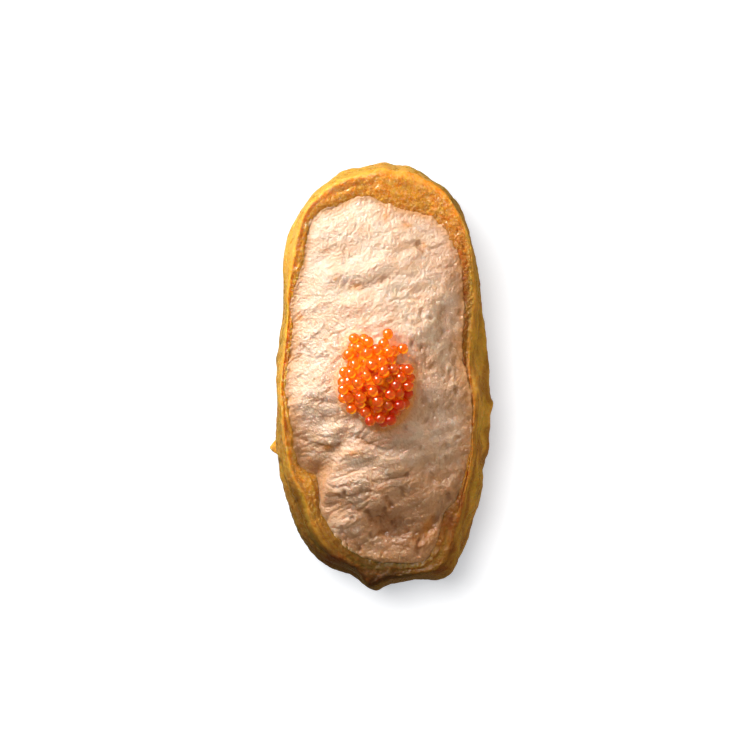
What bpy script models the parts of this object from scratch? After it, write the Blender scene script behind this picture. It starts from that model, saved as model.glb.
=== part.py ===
"""Open-topped inari sushi: a fried tofu pouch, a flaked creamy filling heaped in it and a mound of roe.

The shape functions work in millimetres round the pouch's middle, with directions in degrees from +X
towards +Y, and the meshes are in metres. +Y runs along the pouch, +Z is up, and the pouch stands on z = 0.
"""

import math
import random

import bmesh
import bpy
import numpy as np
from mathutils import Matrix, Vector, noise

MM = 0.001
GAP = 0.35                        # clearance between touching pieces

# Pouch: outline at its widest. Each bump is a direction, a spread (both degrees) and a height.
POUCH_HALF_LENGTH = 38.3
POUCH_HALF_WIDTH = 19.2
POUCH_SQUARENESS = 2.75
POUCH_BUMPS = (
    (-93.0, 3.0, 2.7),            # pinched lower tip
    (-85.5, 3.0, 1.2),
    (-85.5, 18.0, -3.2),          # flattened lower end
    (-71.7, 6.7, 3.3),            # lower right corner
    (50.4, 25.0, -2.0),           # sloping upper right
    (126.8, 9.2, 2.3),            # upper left corner
    (133.4, 16.6, -1.8),
    (-47.0, 20.0, -0.55),
    (118.0, 20.0, -0.5),
    (14.0, 6.0, -0.5),
    (77.0, 3.0, -0.7),
    (98.0, 3.0, -0.6),
    (-32.0, 3.0, -0.6),
    (90.0, 1.6, 0.5),              # small nub at the top
)
FOOT_BUMPS = ((-80.0, 24.0, -2.4), (50.0, 25.0, -1.6), (132.0, 16.0, -0.9))
WIDEST_HEIGHT = 11.0
BASE_INSET = 8.5                  # the flat the pouch rests on lies this far inside the outline

# Rim: how high its crest stands, where it lies, and how far the inner lip drops from it
RIM_HEIGHT = 22.4
RIM_BUMPS = (
    (90, 30, 1.4), (-90, 25, -3.6), (180, 35, 0.5),
    (55, 9, 0.7), (141, 10, -0.7), (-38, 11, 0.7), (14, 8, -0.6), (-12, 7, 0.5),
    (168, 8, -0.6), (-158, 9, 0.6), (112, 7, 0.5), (76, 6, -0.4), (-111, 7, 0.7), (-76, 6, -0.5),
)
CREST_SHARE = 0.42                # share of the band between outline and filling
CREST_BUMPS = (
    (75, 28, -0.24), (46, 14, -0.10), (-5, 30, 0.36), (-50, 18, 0.18), (-80, 12, -0.12), (-125, 12, 0.12),
)
LIP_DROP = 1.0
LIP_BUMPS = ((-126, 11, 1.1), (-80, 18, -0.6), (4, 38, -0.9), (170, 30, -0.35))

# Wall: skin thickness low down and floor thickness; at the lip the folded rim fills the whole band
SKIN = 2.4
FLOOR = 2.4

# Folds pressed into the outer wall: start and end as direction and height, then width and depth
WALL_RADIUS = 27.0                # turns a direction into a distance along the wall
FOLDS = (
    (-134, 10.5, -95, 12.5, 1.4, 1.2),
    (-131, 14.2, -96, 15.8, 1.3, 1.1),
    (-138, 17.8, -99, 18.2, 1.2, 0.9),
    (34, 19.6, -44, 18.6, 1.1, 0.7),
    (20, 21.0, -60, 20.6, 0.9, 0.4),
    (-78, 6.0, -62, 17.0, 1.6, 1.3),
    (-54, 4.5, -40, 16.5, 1.7, 1.0),
    (-47, 11.0, -20, 15.0, 1.5, 0.8),
    (-28, 12.0, 6, 7.0, 1.8, 0.9),
    (-8, 15.5, 24, 13.0, 1.5, 0.8),
    (20, 10.5, 44, 4.5, 1.7, 0.9),
    (46, 15.0, 58, 6.5, 1.7, 1.1),
    (66, 6.0, 76, 17.5, 1.7, 1.1),
    (84, 14.5, 98, 9.0, 1.6, 0.8),
    (98, 18.6, 140, 19.2, 1.1, 0.8),
    (120, 5.0, 106, 15.0, 1.6, 1.1),
    (128, 14.5, 146, 7.0, 1.7, 1.0),
    (150, 15.0, 178, 9.0, 1.7, 0.9),
    (176, 16.5, 206, 12.5, 1.5, 0.8),
    (182, 6.5, 204, 5.0, 1.5, 0.7),
)
FOLD_CALM = 0.75                  # folds are this much shallower round the widest height
WALL_LUMP = 8.0
WALL_LUMP_DEPTH = 0.45
WALL_LUMP_SINK = 0.3              # lumps lie mostly inside the outline

# Torn tab of skin that sticks out low on the left
TAB_TIP = (-20.2, -13.6, 6.4)
TAB_LENGTH = 3.4
TAB_WIDTH = 4.4
TAB_THICKNESS = 2.3
TAB_TURN = 196.0

# Filling: outline where it meets the lip, and the heap over it
FILLING_HALF_LENGTH = 32.8
FILLING_HALF_WIDTH = 15.9
FILLING_SQUARENESS = 2.25
FILLING_BUMPS = (
    (-172.0, 15.8, 1.1),
    (-123.0, 4.4, -2.7),          # pocket at the lower left
    (-109.5, 9.4, -0.8),
    (-77.5, 4.5, 1.9),            # square lower right corner
    (-66.0, 2.8, -1.4),
    (21.0, 25.0, -2.5),           # straight right side
    (58.0, 4.0, 1.0),             # thick lip at the upper right
    (85.0, 8.0, -3.0),
    (114.7, 5.0, 2.9),            # upper left corner
    (137.8, 8.2, 0.9),
)
HEAP_TOP = 26.6
HEAP_FLATNESS = 2.0
HEAP_SAG = 1.2                    # how far the lower end falls away
SWELLS = (                        # middle x, y, then reach across, reach along and height
    (-10.0, -17.0, 5.0, 4.5, 1.0),
    (-4.5, -21.2, 5.0, 2.3, 1.1),
    (0.5, -25.5, 3.5, 2.6, -0.6),
    (2.5, -28.0, 4.5, 4.5, -1.0),
    (-7.0, -26.6, 2.6, 2.6, 0.5),
    (11.0, 2.5, 4.0, 6.0, 0.4),
    (8.0, 16.0, 5.0, 4.0, -0.5),
)
LUMP_SIZE = 6.5
LUMP_HEIGHT = 0.55
FLAKE_SLANT = 20.0                # the flakes rise to the right

# Cracks and pits in the heap: from x, y to x, y, then width and depth
CRACKS = (
    (-4.8, -11.0, 2.9, -12.4, 1.6, 0.55),
    (-11.5, -17.5, -2.5, -15.0, 1.7, 0.35),
    (-10.0, -23.0, -3.0, -21.2, 1.7, 0.3),
    (3.2, -21.5, 5.2, -23.2, 1.8, 0.8),
    (0.6, -27.0, 5.0, -27.2, 1.8, 0.6),
    (8.0, -27.5, 10.2, -24.0, 1.9, 0.8),
    (10.4, 10.6, 11.2, 5.0, 1.9, 0.35),
    (-7.0, 15.0, -2.8, 14.6, 1.8, 0.4),
    (1.0, 14.6, 9.0, 14.5, 1.8, 0.3),
    (6.4, 23.6, 7.6, 21.4, 1.8, 0.2),
    (-12.4, -8.0, -7.5, -6.8, 1.7, 0.25),
)

# Roe: outline of the mound on the heap, its eggs and the core they cover
ROE_CENTRE = (-1.5, -0.7)
ROE_HALF_LENGTH = 9.0
ROE_HALF_WIDTH = 7.0
ROE_SQUARENESS = 2.2
ROE_BUMPS = ((-112, 13, -1.5), (39, 8, -2.4), (68, 10, -2.0), (92, 8, -2.2), (122, 12, 0.7), (153, 9, -1.2))
EGG_RADIUS = 1.0
EGG_VARIATION = 0.06
EGG_COUNT = 82
EGG_TRIES = 500
EGG_CONTACT = 0.95                # neighbours press into each other a little
EGG_SEED = 11
STRAY_EGGS = ((0.6, 7.35), (-0.1, 5.65), (1.7, 4.35), (3.25, 4.78))  # eggs trailing off the upper edge
ROE_HEAPING = 1.4                 # how strongly the eggs gather in the middle
ROE_CORE_SHRINK = 0.86
ROE_CORE_COVER = 0.95             # eggs stand this far out of the core
ROE_CORE_RIM = 0.12               # height of the core's edge, as a share of its thickness there
ROE_SEAT_FADE = 3.0               # the heap is smoothed this far round the roe

# Mesh density
COLUMNS = 88
EGG_SEGMENTS = 7
EGG_RINGS = 5
CORE_SEGMENTS = 20
CORE_RINGS = 9


def turn_between(direction, other):
    """Signed angle in degrees from one direction to another."""
    return (direction - other + 180.0) % 360.0 - 180.0


def bumps(direction, entries):
    """Sum of soft bumps round an outline."""
    total = np.zeros_like(direction)
    for middle, spread, height in entries:
        total = total + height * np.exp(-0.5 * (turn_between(direction, middle) / spread) ** 2)
    return total


def outline(direction, half_length, half_width, squareness, entries):
    """Radius of a squared oval with bumps."""
    angle = np.radians(direction)
    across = np.abs(np.cos(angle) / half_width) ** squareness
    along = np.abs(np.sin(angle) / half_length) ** squareness
    return (across + along) ** (-1.0 / squareness) + bumps(direction, entries)


def pouch_radius(direction):
    return outline(direction, POUCH_HALF_LENGTH, POUCH_HALF_WIDTH, POUCH_SQUARENESS, POUCH_BUMPS)


def foot_radius(direction):
    return outline(direction, POUCH_HALF_LENGTH, POUCH_HALF_WIDTH, POUCH_SQUARENESS, FOOT_BUMPS)


def filling_radius(direction):
    return outline(direction, FILLING_HALF_LENGTH, FILLING_HALF_WIDTH, FILLING_SQUARENESS, FILLING_BUMPS)


def rim_height(direction):
    return RIM_HEIGHT + bumps(direction, RIM_BUMPS)


def lip_height(direction):
    return rim_height(direction) - LIP_DROP - bumps(direction, LIP_BUMPS)


def smooth_step(value):
    share = np.clip(value, 0.0, 1.0)
    return share * share * (3.0 - 2.0 * share)


def groove(u, v, start, end, width):
    """A soft groove between two points, 1 deep, with a small swell along both sides."""
    run = (end[0] - start[0], end[1] - start[1])
    along = ((u - start[0]) * run[0] + (v - start[1]) * run[1]) / (run[0] ** 2 + run[1] ** 2)
    along = np.clip(along, 0.0, 1.0)
    away = np.hypot(u - start[0] - along * run[0], v - start[1] - along * run[1]) / width
    return np.exp(-away ** 2) - 0.35 * np.exp(-(away - 2.0) ** 2)


def lumps(x, y, z, size, octaves):
    """Smooth unevenness of about -1 to 1 at each point."""
    points = np.stack([x, y, z], axis=-1) / size
    return np.array([noise.fractal(Vector(point), 1.0, 2.0, octaves) for point in points])


def section(keys, knot):
    """Point of each vertex on its own section: a curve through the section's keys."""
    keys = np.stack(np.broadcast_arrays(*keys))
    last = len(keys) - 1
    lower = np.clip(knot.astype(int), 0, last - 1)
    share = knot - lower
    index = np.arange(len(knot))
    before, start, end, after = (keys[np.clip(lower + step, 0, last), index] for step in (-1, 0, 1, 2))
    bend = 2 * before - 5 * start + 4 * end - after
    twist = 3 * (start - end) + after - before
    return start + 0.5 * share * (end - before + share * (bend + share * twist))


def ring_mesh(name, rings, columns, shape):
    """A closed body: a sphere whose rings go to the given knots of a section and whose columns face round."""
    mesh = bpy.data.meshes.new(name)
    bm = bmesh.new()
    bmesh.ops.create_uvsphere(bm, u_segments=columns, v_segments=len(rings) - 1, radius=1.0)
    sphere = np.array([vertex.co[:] for vertex in bm.verts])
    ring = np.rint((1.0 - np.arccos(np.clip(sphere[:, 2], -1, 1)) / math.pi) * (len(rings) - 1)).astype(int)
    stretch = math.sqrt(POUCH_HALF_LENGTH / POUCH_HALF_WIDTH)
    direction = np.degrees(np.arctan2(stretch * sphere[:, 1], sphere[:, 0]))
    for vertex, place in zip(bm.verts, shape(direction, np.array(rings, dtype=float)[ring])):
        vertex.co = place * MM
    bmesh.ops.triangulate(bm, faces=[face for face in bm.faces if len(face.verts) > 3])
    bm.to_mesh(mesh)
    bm.free()
    return mesh


def hollow_keys(direction, gap):
    """Keys of the pouch's hollow from the lip to the middle of its floor, drawn in by a gap."""
    radius = pouch_radius(direction)
    foot = foot_radius(direction)
    lip = lip_height(direction)
    band = radius - filling_radius(direction)
    reach = (
        radius - band - gap,
        radius - band - gap,
        radius - 0.5 * (band + SKIN) - gap,
        radius - SKIN - gap,
        0.5 * (radius + foot) - SKIN - 1.5 - gap,
        foot - BASE_INSET - gap,
        0.5 * (foot - BASE_INSET),
        0.0 * radius,
    )
    floor = FLOOR + gap
    height = (lip, lip - 2.0, lip - 5.5, 9.0 + 0.0 * lip, 4.6 + gap, floor, floor, floor)
    return reach, height


def pouch_shape(direction, knot):
    """Outer floor, bulging wall, rolled rim and hollow of the pouch."""
    radius = pouch_radius(direction)
    top = rim_height(direction)
    band = radius - filling_radius(direction)
    crest = band * (CREST_SHARE + bumps(direction, CREST_BUMPS))
    lip = lip_height(direction)
    hollow_reach, hollow_height = hollow_keys(direction, 0.0)
    foot = foot_radius(direction)
    reach = section((
        0.0 * radius,
        0.5 * (foot - BASE_INSET),
        foot - BASE_INSET,
        foot - 4.0,
        0.5 * (foot + radius) - 1.5,
        radius,
        radius - 0.3,
        radius - 0.55 * crest,
        radius - crest,
        radius - crest - 0.45 * (band - crest),
    ) + hollow_reach, knot)
    height = section((
        0.0 * radius,
        0.0 * radius,
        0.0 * radius,
        1.3 + 0.0 * radius,
        5.0 + 0.0 * radius,
        WIDEST_HEIGHT + 0.0 * radius,
        WIDEST_HEIGHT + 0.48 * (top - WIDEST_HEIGHT),
        WIDEST_HEIGHT + 0.84 * (top - WIDEST_HEIGHT),
        top,
        top - 0.35 * (top - lip),
    ) + hollow_height, knot)
    height = np.maximum(height, 0.0)
    outside = smooth_step(knot - 2.0) * smooth_step(9.0 - knot)
    depth = np.zeros_like(reach)
    for start, low, end, high, width, deep in FOLDS:
        turned = np.radians(start + turn_between(direction, start)) * WALL_RADIUS
        ends = (math.radians(start) * WALL_RADIUS, math.radians(end) * WALL_RADIUS)
        depth = depth + deep * groove(turned, height, (ends[0], low), (ends[1], high), width)
    depth = depth * (1.0 - FOLD_CALM * np.exp(-((height - WIDEST_HEIGHT) / 3.5) ** 2))
    angle = np.radians(direction)
    wave = lumps(reach * np.cos(angle), reach * np.sin(angle), height, WALL_LUMP, 2)
    reach = reach + outside * (WALL_LUMP_DEPTH * (wave - WALL_LUMP_SINK) - depth)
    return np.stack([reach * np.cos(angle), reach * np.sin(angle), height], axis=-1)


def heap_height(x, y):
    """Top of the filling at a point: a low heap with lumps and cracks."""
    direction = np.degrees(np.arctan2(y, x))
    share = np.clip(np.hypot(x, y) / filling_radius(direction), 0.0, 1.0)
    edge = lip_height(direction)
    sag = HEAP_SAG * smooth_step((-y - 1.0) / 31.0)
    rise = 1.0 - share ** HEAP_FLATNESS
    slant = math.radians(FLAKE_SLANT)
    u = x * math.cos(slant) + y * math.sin(slant)
    v = y * math.cos(slant) - x * math.sin(slant)
    uneven = LUMP_HEIGHT * lumps(u * 0.6, v * 1.3, 0.0 * u, LUMP_SIZE, 3)
    for middle_x, middle_y, reach_x, reach_y, rise_by in SWELLS:
        uneven = uneven + rise_by * np.exp(-((x - middle_x) / reach_x) ** 2 - ((y - middle_y) / reach_y) ** 2)
    for x0, y0, x1, y1, width, deep in CRACKS:
        uneven = uneven - deep * groove(x, y, (x0, y0), (x1, y1), width)
    calm = smooth_step((roe_reach(x, y) - 0.2) / ROE_SEAT_FADE) * smooth_step((1.0 - share) / 0.1)
    return edge + (HEAP_TOP - sag - edge) * rise + calm * uneven


def roe_reach(x, y):
    """Distance of a point outside the roe's outline, negative inside."""
    x = x - ROE_CENTRE[0]
    y = y - ROE_CENTRE[1]
    direction = np.degrees(np.arctan2(y, x))
    return np.hypot(x, y) - roe_radius(direction)


def roe_radius(direction):
    return outline(direction, ROE_HALF_LENGTH, ROE_HALF_WIDTH, ROE_SQUARENESS, ROE_BUMPS)


HEAP_SHARES = (1.0, 0.985, 0.955, 0.91, 0.85, 0.79, 0.73, 0.67, 0.61, 0.55, 0.48, 0.41, 0.33, 0.24, 0.12, 0.0)


def filling_shape(direction, knot):
    """The filling from the middle of its underside up the hollow and over the heap to the middle of its top."""
    reach, height = hollow_keys(direction, GAP)
    last = len(reach) - 1
    low = np.minimum(knot, last)
    side_reach = section(reach[::-1], low)
    side_height = section(height[::-1], low)
    share = np.interp(knot - last, np.arange(len(HEAP_SHARES)), HEAP_SHARES)
    on_top = knot > last
    reach = np.where(on_top, share * (filling_radius(direction) - GAP), side_reach)
    angle = np.radians(direction)
    x = reach * np.cos(angle)
    y = reach * np.sin(angle)
    height = np.where(on_top, heap_height(x, y), side_height)
    return np.stack([x, y, height], axis=-1)


def egg_places():
    """Eggs dropped one by one: each takes the lowest of a few drawn places, on the heap or on eggs below."""
    draw = random.Random(EGG_SEED)
    eggs = []
    for x, y in STRAY_EGGS:
        seat = float(heap_height(np.array([x]), np.array([y]))[0])
        eggs.append((x, y, seat + GAP + 1.04 * EGG_RADIUS, EGG_RADIUS))
    for _ in range(EGG_COUNT):
        direction = np.array([draw.uniform(-180.0, 180.0) for _ in range(EGG_TRIES)])
        share = np.array([math.sqrt(draw.random()) for _ in range(EGG_TRIES)])
        radius = EGG_RADIUS * (1.0 + EGG_VARIATION * draw.uniform(-1.0, 1.0))
        reach = share * (roe_radius(direction) - radius)
        x = ROE_CENTRE[0] + reach * np.cos(np.radians(direction))
        y = ROE_CENTRE[1] + reach * np.sin(np.radians(direction))
        z = heap_height(x, y) + GAP + 1.04 * radius
        for other_x, other_y, other_z, other_radius in eggs:
            contact = EGG_CONTACT * (radius + other_radius)
            apart = (x - other_x) ** 2 + (y - other_y) ** 2
            on_other = other_z + np.sqrt(np.maximum(contact ** 2 - apart, 0.0))
            z = np.where(apart < contact ** 2, np.maximum(z, on_other), z)
        best = int(np.argmin(z + ROE_HEAPING * share ** 2))
        eggs.append((x[best], y[best], z[best], radius))
    return eggs


def core_mesh(name, eggs):
    """The dome that the eggs cover: it follows the heap below and stays under the highest eggs above."""
    mesh = bpy.data.meshes.new(name)
    bm = bmesh.new()
    bmesh.ops.create_uvsphere(bm, u_segments=CORE_SEGMENTS, v_segments=CORE_RINGS, radius=1.0)
    for vertex in bm.verts:
        turn = math.atan2(vertex.co.y, vertex.co.x)
        share = math.hypot(vertex.co.x, vertex.co.y)
        reach = share * ROE_CORE_SHRINK * float(roe_radius(np.array([math.degrees(turn)]))[0])
        x = ROE_CENTRE[0] + reach * math.cos(turn)
        y = ROE_CENTRE[1] + reach * math.sin(turn)
        seat = float(heap_height(np.array([x]), np.array([y]))[0]) + GAP + 0.1
        near = [egg for egg in eggs if math.hypot(egg[0] - x, egg[1] - y) < 1.6 * EGG_RADIUS]
        top = max([egg[2] + egg[3] - ROE_CORE_COVER for egg in near], default=seat + EGG_RADIUS)
        lift = (1.0 - ROE_CORE_RIM) * max(vertex.co.z, 0.0) + ROE_CORE_RIM * min(1.0, 1.0 + vertex.co.z)
        height = seat + (top - seat) * lift
        vertex.co = Vector((x, y, height)) * MM
    bmesh.ops.triangulate(bm, faces=bm.faces[:])
    bm.to_mesh(mesh)
    bm.free()
    return mesh


def keep_largest_body(mesh):
    """Drop loose scraps and fill sealed hollows left by joining."""
    bm = bmesh.new()
    bm.from_mesh(mesh)
    left = set(bm.faces)
    bodies = []
    while left:
        front = [left.pop()]
        body = []
        while front:
            face = front.pop()
            body.append(face)
            for other in {other for edge in face.edges for other in edge.link_faces} & left:
                left.remove(other)
                front.append(other)
        bodies.append(body)
    bodies.sort(key=len)
    bmesh.ops.delete(bm, geom=[face for body in bodies[:-1] for face in body], context="FACES")
    bm.to_mesh(mesh)
    bm.free()


def material(name, colour, roughness):
    made = bpy.data.materials.new(name)
    made.use_nodes = True
    shader = made.node_tree.nodes["Principled BSDF"]
    shader.inputs["Base Color"].default_value = (*colour, 1.0)
    shader.inputs["Roughness"].default_value = roughness
    shader.inputs["Metallic"].default_value = 0.0
    made.diffuse_color = (*colour, 1.0)
    return made


def add_object(name, mesh, collection, finish=None):
    made = bpy.data.objects.new(name, mesh)
    if finish:
        mesh.materials.append(finish)
    collection.objects.link(made)
    return made


def join_bodies(target, helpers):
    """One Boolean union of the target with every object of a collection, applied; the helpers are removed."""
    union = target.modifiers.new("union", "BOOLEAN")
    union.operation = "UNION"
    union.operand_type = "COLLECTION"
    union.collection = helpers
    union.solver = "EXACT"
    bpy.context.view_layer.update()
    joined = bpy.data.meshes.new_from_object(target.evaluated_get(bpy.context.evaluated_depsgraph_get()))
    target.modifiers.remove(union)
    joined.name = target.name
    target.data = joined
    for helper in list(helpers.objects):
        bpy.data.objects.remove(helper, do_unlink=True)
    bmesh_clean(joined)
    keep_largest_body(joined)


def bmesh_clean(mesh):
    bm = bmesh.new()
    bm.from_mesh(mesh)
    bmesh.ops.remove_doubles(bm, verts=bm.verts[:], dist=0.00001)
    bmesh.ops.triangulate(bm, faces=bm.faces[:])
    bm.to_mesh(mesh)
    bm.free()


def hide_helpers(collection):
    for helper in collection.objects:
        helper.hide_render = True
        helper.display_type = "WIRE"


def make_pouch(parts, helpers):
    """The fried tofu pouch with its torn tab."""
    rings = (0, 1, 2, 2.6, 3.2, 3.8, 4.4, 5, 5.5, 6, 6.35, 6.7, 7, 7.35, 7.7, 8, 8.35, 8.7, 9, 9.5,
             10, 10.6, 11.2, 12, 13, 14, 15, 16, 17)
    mesh = ring_mesh("tofu_pouch", rings, COLUMNS, pouch_shape)
    pouch = add_object("tofu_pouch", mesh, parts, material("tofu_skin", (0.66, 0.34, 0.08), 0.42))
    bm = bmesh.new()
    bmesh.ops.create_cone(bm, cap_ends=True, segments=8, radius1=0.5, radius2=0.06, depth=1.0)
    size = Matrix.Diagonal((TAB_THICKNESS, TAB_WIDTH, TAB_LENGTH, 1.0))
    lay = Matrix.Rotation(math.radians(90.0), 4, "Y")
    turn = Matrix.Rotation(math.radians(TAB_TURN), 4, "Z")
    tip = Matrix.Translation(Vector(TAB_TIP))
    back = Matrix.Translation((-0.5 * TAB_LENGTH, 0.0, 0.0))
    bmesh.ops.transform(bm, matrix=Matrix.Scale(MM, 4) @ tip @ turn @ back @ lay @ size, verts=bm.verts[:])
    tab = bpy.data.meshes.new("tab")
    bm.to_mesh(tab)
    bm.free()
    add_object("tab", tab, helpers)
    hide_helpers(helpers)
    join_bodies(pouch, helpers)
    return pouch


def make_filling(parts):
    """The creamy flaked filling, one body from the pouch's floor to the heap's top."""
    sides = len(hollow_keys(np.zeros(1), GAP)[0]) - 1
    rings = (0, 1, 2, 3, 4, 5, 5.8, 6.4, 7)
    rings = rings + tuple(sides + step for step in range(1, len(HEAP_SHARES)))
    mesh = ring_mesh("filling", rings, COLUMNS, filling_shape)
    return add_object("filling", mesh, parts, material("creamy_flakes", (0.86, 0.66, 0.50), 0.38))


def make_roe(parts, helpers):
    """The mound of roe: eggs at true size fused on a smaller core."""
    eggs = egg_places()
    roe = add_object("roe_heap", core_mesh("roe_heap", eggs), parts, material("roe", (0.86, 0.16, 0.02), 0.14))
    for number, (x, y, z, radius) in enumerate(eggs):
        covered = [egg for egg in eggs if math.dist(egg[:2], (x, y)) < 0.9 * EGG_RADIUS and egg[2] > z]
        if covered:
            continue
        bm = bmesh.new()
        turn = Matrix.Rotation(number, 4, "X")
        place = Matrix.Translation(Vector((x, y, z)) * MM)
        bmesh.ops.create_uvsphere(bm, u_segments=EGG_SEGMENTS, v_segments=EGG_RINGS, radius=radius * MM,
                                  matrix=place @ turn)
        egg = bpy.data.meshes.new("egg")
        bm.to_mesh(egg)
        bm.free()
        add_object("egg", egg, helpers)
    hide_helpers(helpers)
    join_bodies(roe, helpers)
    return roe


def centre_on_base(pieces):
    """Move every mesh so that the origin is the bottom middle of the whole."""
    points = np.array([vertex.co[:] for piece in pieces for vertex in piece.data.vertices])
    low = points.min(axis=0)
    high = points.max(axis=0)
    shift = Matrix.Translation((-0.5 * (low[0] + high[0]), -0.5 * (low[1] + high[1]), -low[2]))
    for piece in pieces:
        piece.data.transform(shift)
        piece.data.shade_smooth()
        piece.data.set_sharp_from_angle(angle=math.radians(50.0))


def main():
    for old in list(bpy.data.objects):
        bpy.data.objects.remove(old, do_unlink=True)
    parts = bpy.data.collections.new("inari_sushi")
    helpers = bpy.data.collections.new("helpers")
    bpy.context.scene.collection.children.link(parts)
    bpy.context.scene.collection.children.link(helpers)
    pieces = [make_pouch(parts, helpers), make_filling(parts), make_roe(parts, helpers)]
    centre_on_base(pieces)
    for piece in pieces:
        print(piece.name, "triangles", len(piece.data.polygons))


main()
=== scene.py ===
"""Looks of an open-topped inari sushi: a glossy fried tofu pouch, a flaked creamy filling and a mound of roe.

The shape functions work in millimetres round the pouch's middle, with directions in degrees from +X
towards +Y. The meshes are in metres, +Y runs along the pouch and +Z is up.
"""

import math
import random

import bpy
import numpy as np
from bpy.props import FloatProperty, FloatVectorProperty, IntProperty, PointerProperty
from bpy.types import Operator, Panel, PropertyGroup
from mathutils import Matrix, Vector, noise

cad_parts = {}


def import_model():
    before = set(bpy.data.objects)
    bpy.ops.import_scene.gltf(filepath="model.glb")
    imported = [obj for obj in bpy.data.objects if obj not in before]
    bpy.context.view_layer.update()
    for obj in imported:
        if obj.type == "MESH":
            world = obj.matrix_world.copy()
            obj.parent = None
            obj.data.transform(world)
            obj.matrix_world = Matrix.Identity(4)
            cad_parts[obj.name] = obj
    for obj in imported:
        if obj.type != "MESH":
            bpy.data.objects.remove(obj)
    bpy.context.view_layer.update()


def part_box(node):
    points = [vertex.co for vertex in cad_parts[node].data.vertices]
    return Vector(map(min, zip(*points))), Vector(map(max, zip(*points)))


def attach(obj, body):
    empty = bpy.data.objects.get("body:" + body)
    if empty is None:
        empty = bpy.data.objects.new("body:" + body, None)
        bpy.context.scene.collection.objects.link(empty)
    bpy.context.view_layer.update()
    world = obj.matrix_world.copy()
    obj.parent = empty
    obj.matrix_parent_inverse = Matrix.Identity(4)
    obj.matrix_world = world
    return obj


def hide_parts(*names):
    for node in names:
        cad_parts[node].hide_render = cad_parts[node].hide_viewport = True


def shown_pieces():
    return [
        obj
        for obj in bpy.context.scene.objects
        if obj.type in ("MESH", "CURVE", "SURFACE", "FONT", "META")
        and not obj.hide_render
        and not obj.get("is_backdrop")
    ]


bl_info = {
    "name": "Inari sushi",
    "version": (1, 0, 0),
    "blender": (4, 5, 0),
    "location": "3D View > Sidebar > Inari",
    "description": "Dresses an open-topped inari sushi: fried tofu pouch, flaked filling and roe",
    "category": "Add Mesh",
}

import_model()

MM = 0.001
GAP = 0.35                        # clearance between the solids that touch

# Pouch: outline at its widest. Each bump is a direction, a spread (both degrees) and a height.
POUCH_HALF_LENGTH = 38.3
POUCH_HALF_WIDTH = 19.2
POUCH_SQUARENESS = 2.75
POUCH_BUMPS = (
    (-93.0, 3.0, 2.7),            # pinched lower tip
    (-85.5, 3.0, 1.2),
    (-85.5, 18.0, -3.2),          # flattened lower end
    (-71.7, 6.7, 3.3),            # lower right corner
    (50.4, 25.0, -2.0),           # sloping upper right
    (126.8, 9.2, 2.3),            # upper left corner
    (133.4, 16.6, -1.8),
    (-47.0, 20.0, -0.55),
    (118.0, 20.0, -0.5),
    (14.0, 6.0, -0.5),
    (77.0, 3.0, -0.7),
    (98.0, 3.0, -0.6),
    (-32.0, 3.0, -0.6),
    (90.0, 1.6, 0.5),             # small nub at the top
)
FOOT_BUMPS = ((-80.0, 24.0, -2.4), (50.0, 25.0, -1.6), (132.0, 16.0, -0.9))
WIDEST_HEIGHT = 11.0
BASE_INSET = 8.5                  # the flat the pouch rests on lies this far inside the outline

# Rim: how high its crest stands, where it lies, and how far the inner lip drops from it
RIM_HEIGHT = 22.4
RIM_BUMPS = (
    (90, 30, 1.4), (-90, 25, -3.6), (180, 35, 0.5),
    (55, 9, 0.7), (141, 10, -0.7), (-38, 11, 0.7), (14, 8, -0.6), (-12, 7, 0.5),
    (168, 8, -0.6), (-158, 9, 0.6), (112, 7, 0.5), (76, 6, -0.4), (-111, 7, 0.7), (-76, 6, -0.5),
)
CREST_SHARE = 0.42                # share of the band between outline and filling
CREST_BUMPS = (
    (75, 28, -0.24), (46, 14, -0.10), (-5, 30, 0.36), (-50, 18, 0.18), (-80, 12, -0.12), (-125, 12, 0.12),
)
LIP_DROP = 1.0
LIP_BUMPS = ((-126, 11, 1.1), (-80, 18, -0.6), (4, 38, -0.9), (170, 30, -0.35))

# Tones of the skin round the pouch, each a direction, a spread and a share
SOAKED = ((50, 15, 0.7), (5, 25, 0.65), (-60, 22, 0.45), (100, 12, 0.15))   # deep amber with stock
# less deep amber where the ridge at the upper left and the pocket at the lower left lie in shade: painted
# light
SOAKED_LESS_PAINTED_LIGHT = ((120, 30, 0.6), (-124, 14, 0.7))
BROWN_AND_SHADE = ((-92, 9, 0.9),)                    # the tip of the low end: darker skin with stock, and painted shade
DULL_AND_SHADE = ((-94, 15, 1.0), (-66, 14, 0.3))     # dull olive on both sides of the crest, partly painted shade
DULLED_INSIDE = ((8, 34, 0.75),)
# painted shade on the outer walls that face the light, at the left, the top and the upper right
PAINTED_SHADE_OUTSIDE = ((-120, 11, 0.55), (-146, 14, 0.25), (155, 22, 0.25), (104, 14, 0.25), (66, 13, 0.22))
SMEAR_FREE = ((-85, 28, 0.9), (108, 28, 0.8), (25, 28, 0.7))                # no smears of filling here
OUTWARD = ((86, 15, 1.3), (42, 20, -0.9))     # how far the amber of the inside spreads over the crest
INSIDE_LESS = ((-80, 26, 0.9),)               # where the inside keeps the outer skin's colours
# painted sheen on the outer band where the light falls
PAINTED_SHEEN = ((121, 8, 0.85),)
# wet places: glossier, with a deeper grain, and painted glints in the skin's colour
WET = ((118, 26, 1.0), (80, 20, 0.9), (45, 12, 0.5), (172, 20, 0.6), (-126, 12, 0.6))
STREAKED = ((-50, 36, 0.8), (-128, 20, 0.5), (20, 26, 0.5), (186, 22, 0.3))
# Red-brown places where the skin stayed deep in the stock: middle x, y, then reach across and along
RED_SPOTS = ((11.8, -25.6, 1.2, 2.4), (10.2, -34.2, 1.8, 1.0), (13.4, -22.0, 0.7, 2.6),
             (15.2, -9.0, 0.6, 3.0), (12.0, -31.0, 0.8, 2.4), (-8.8, -32.4, 2.4, 1.2))
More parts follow.
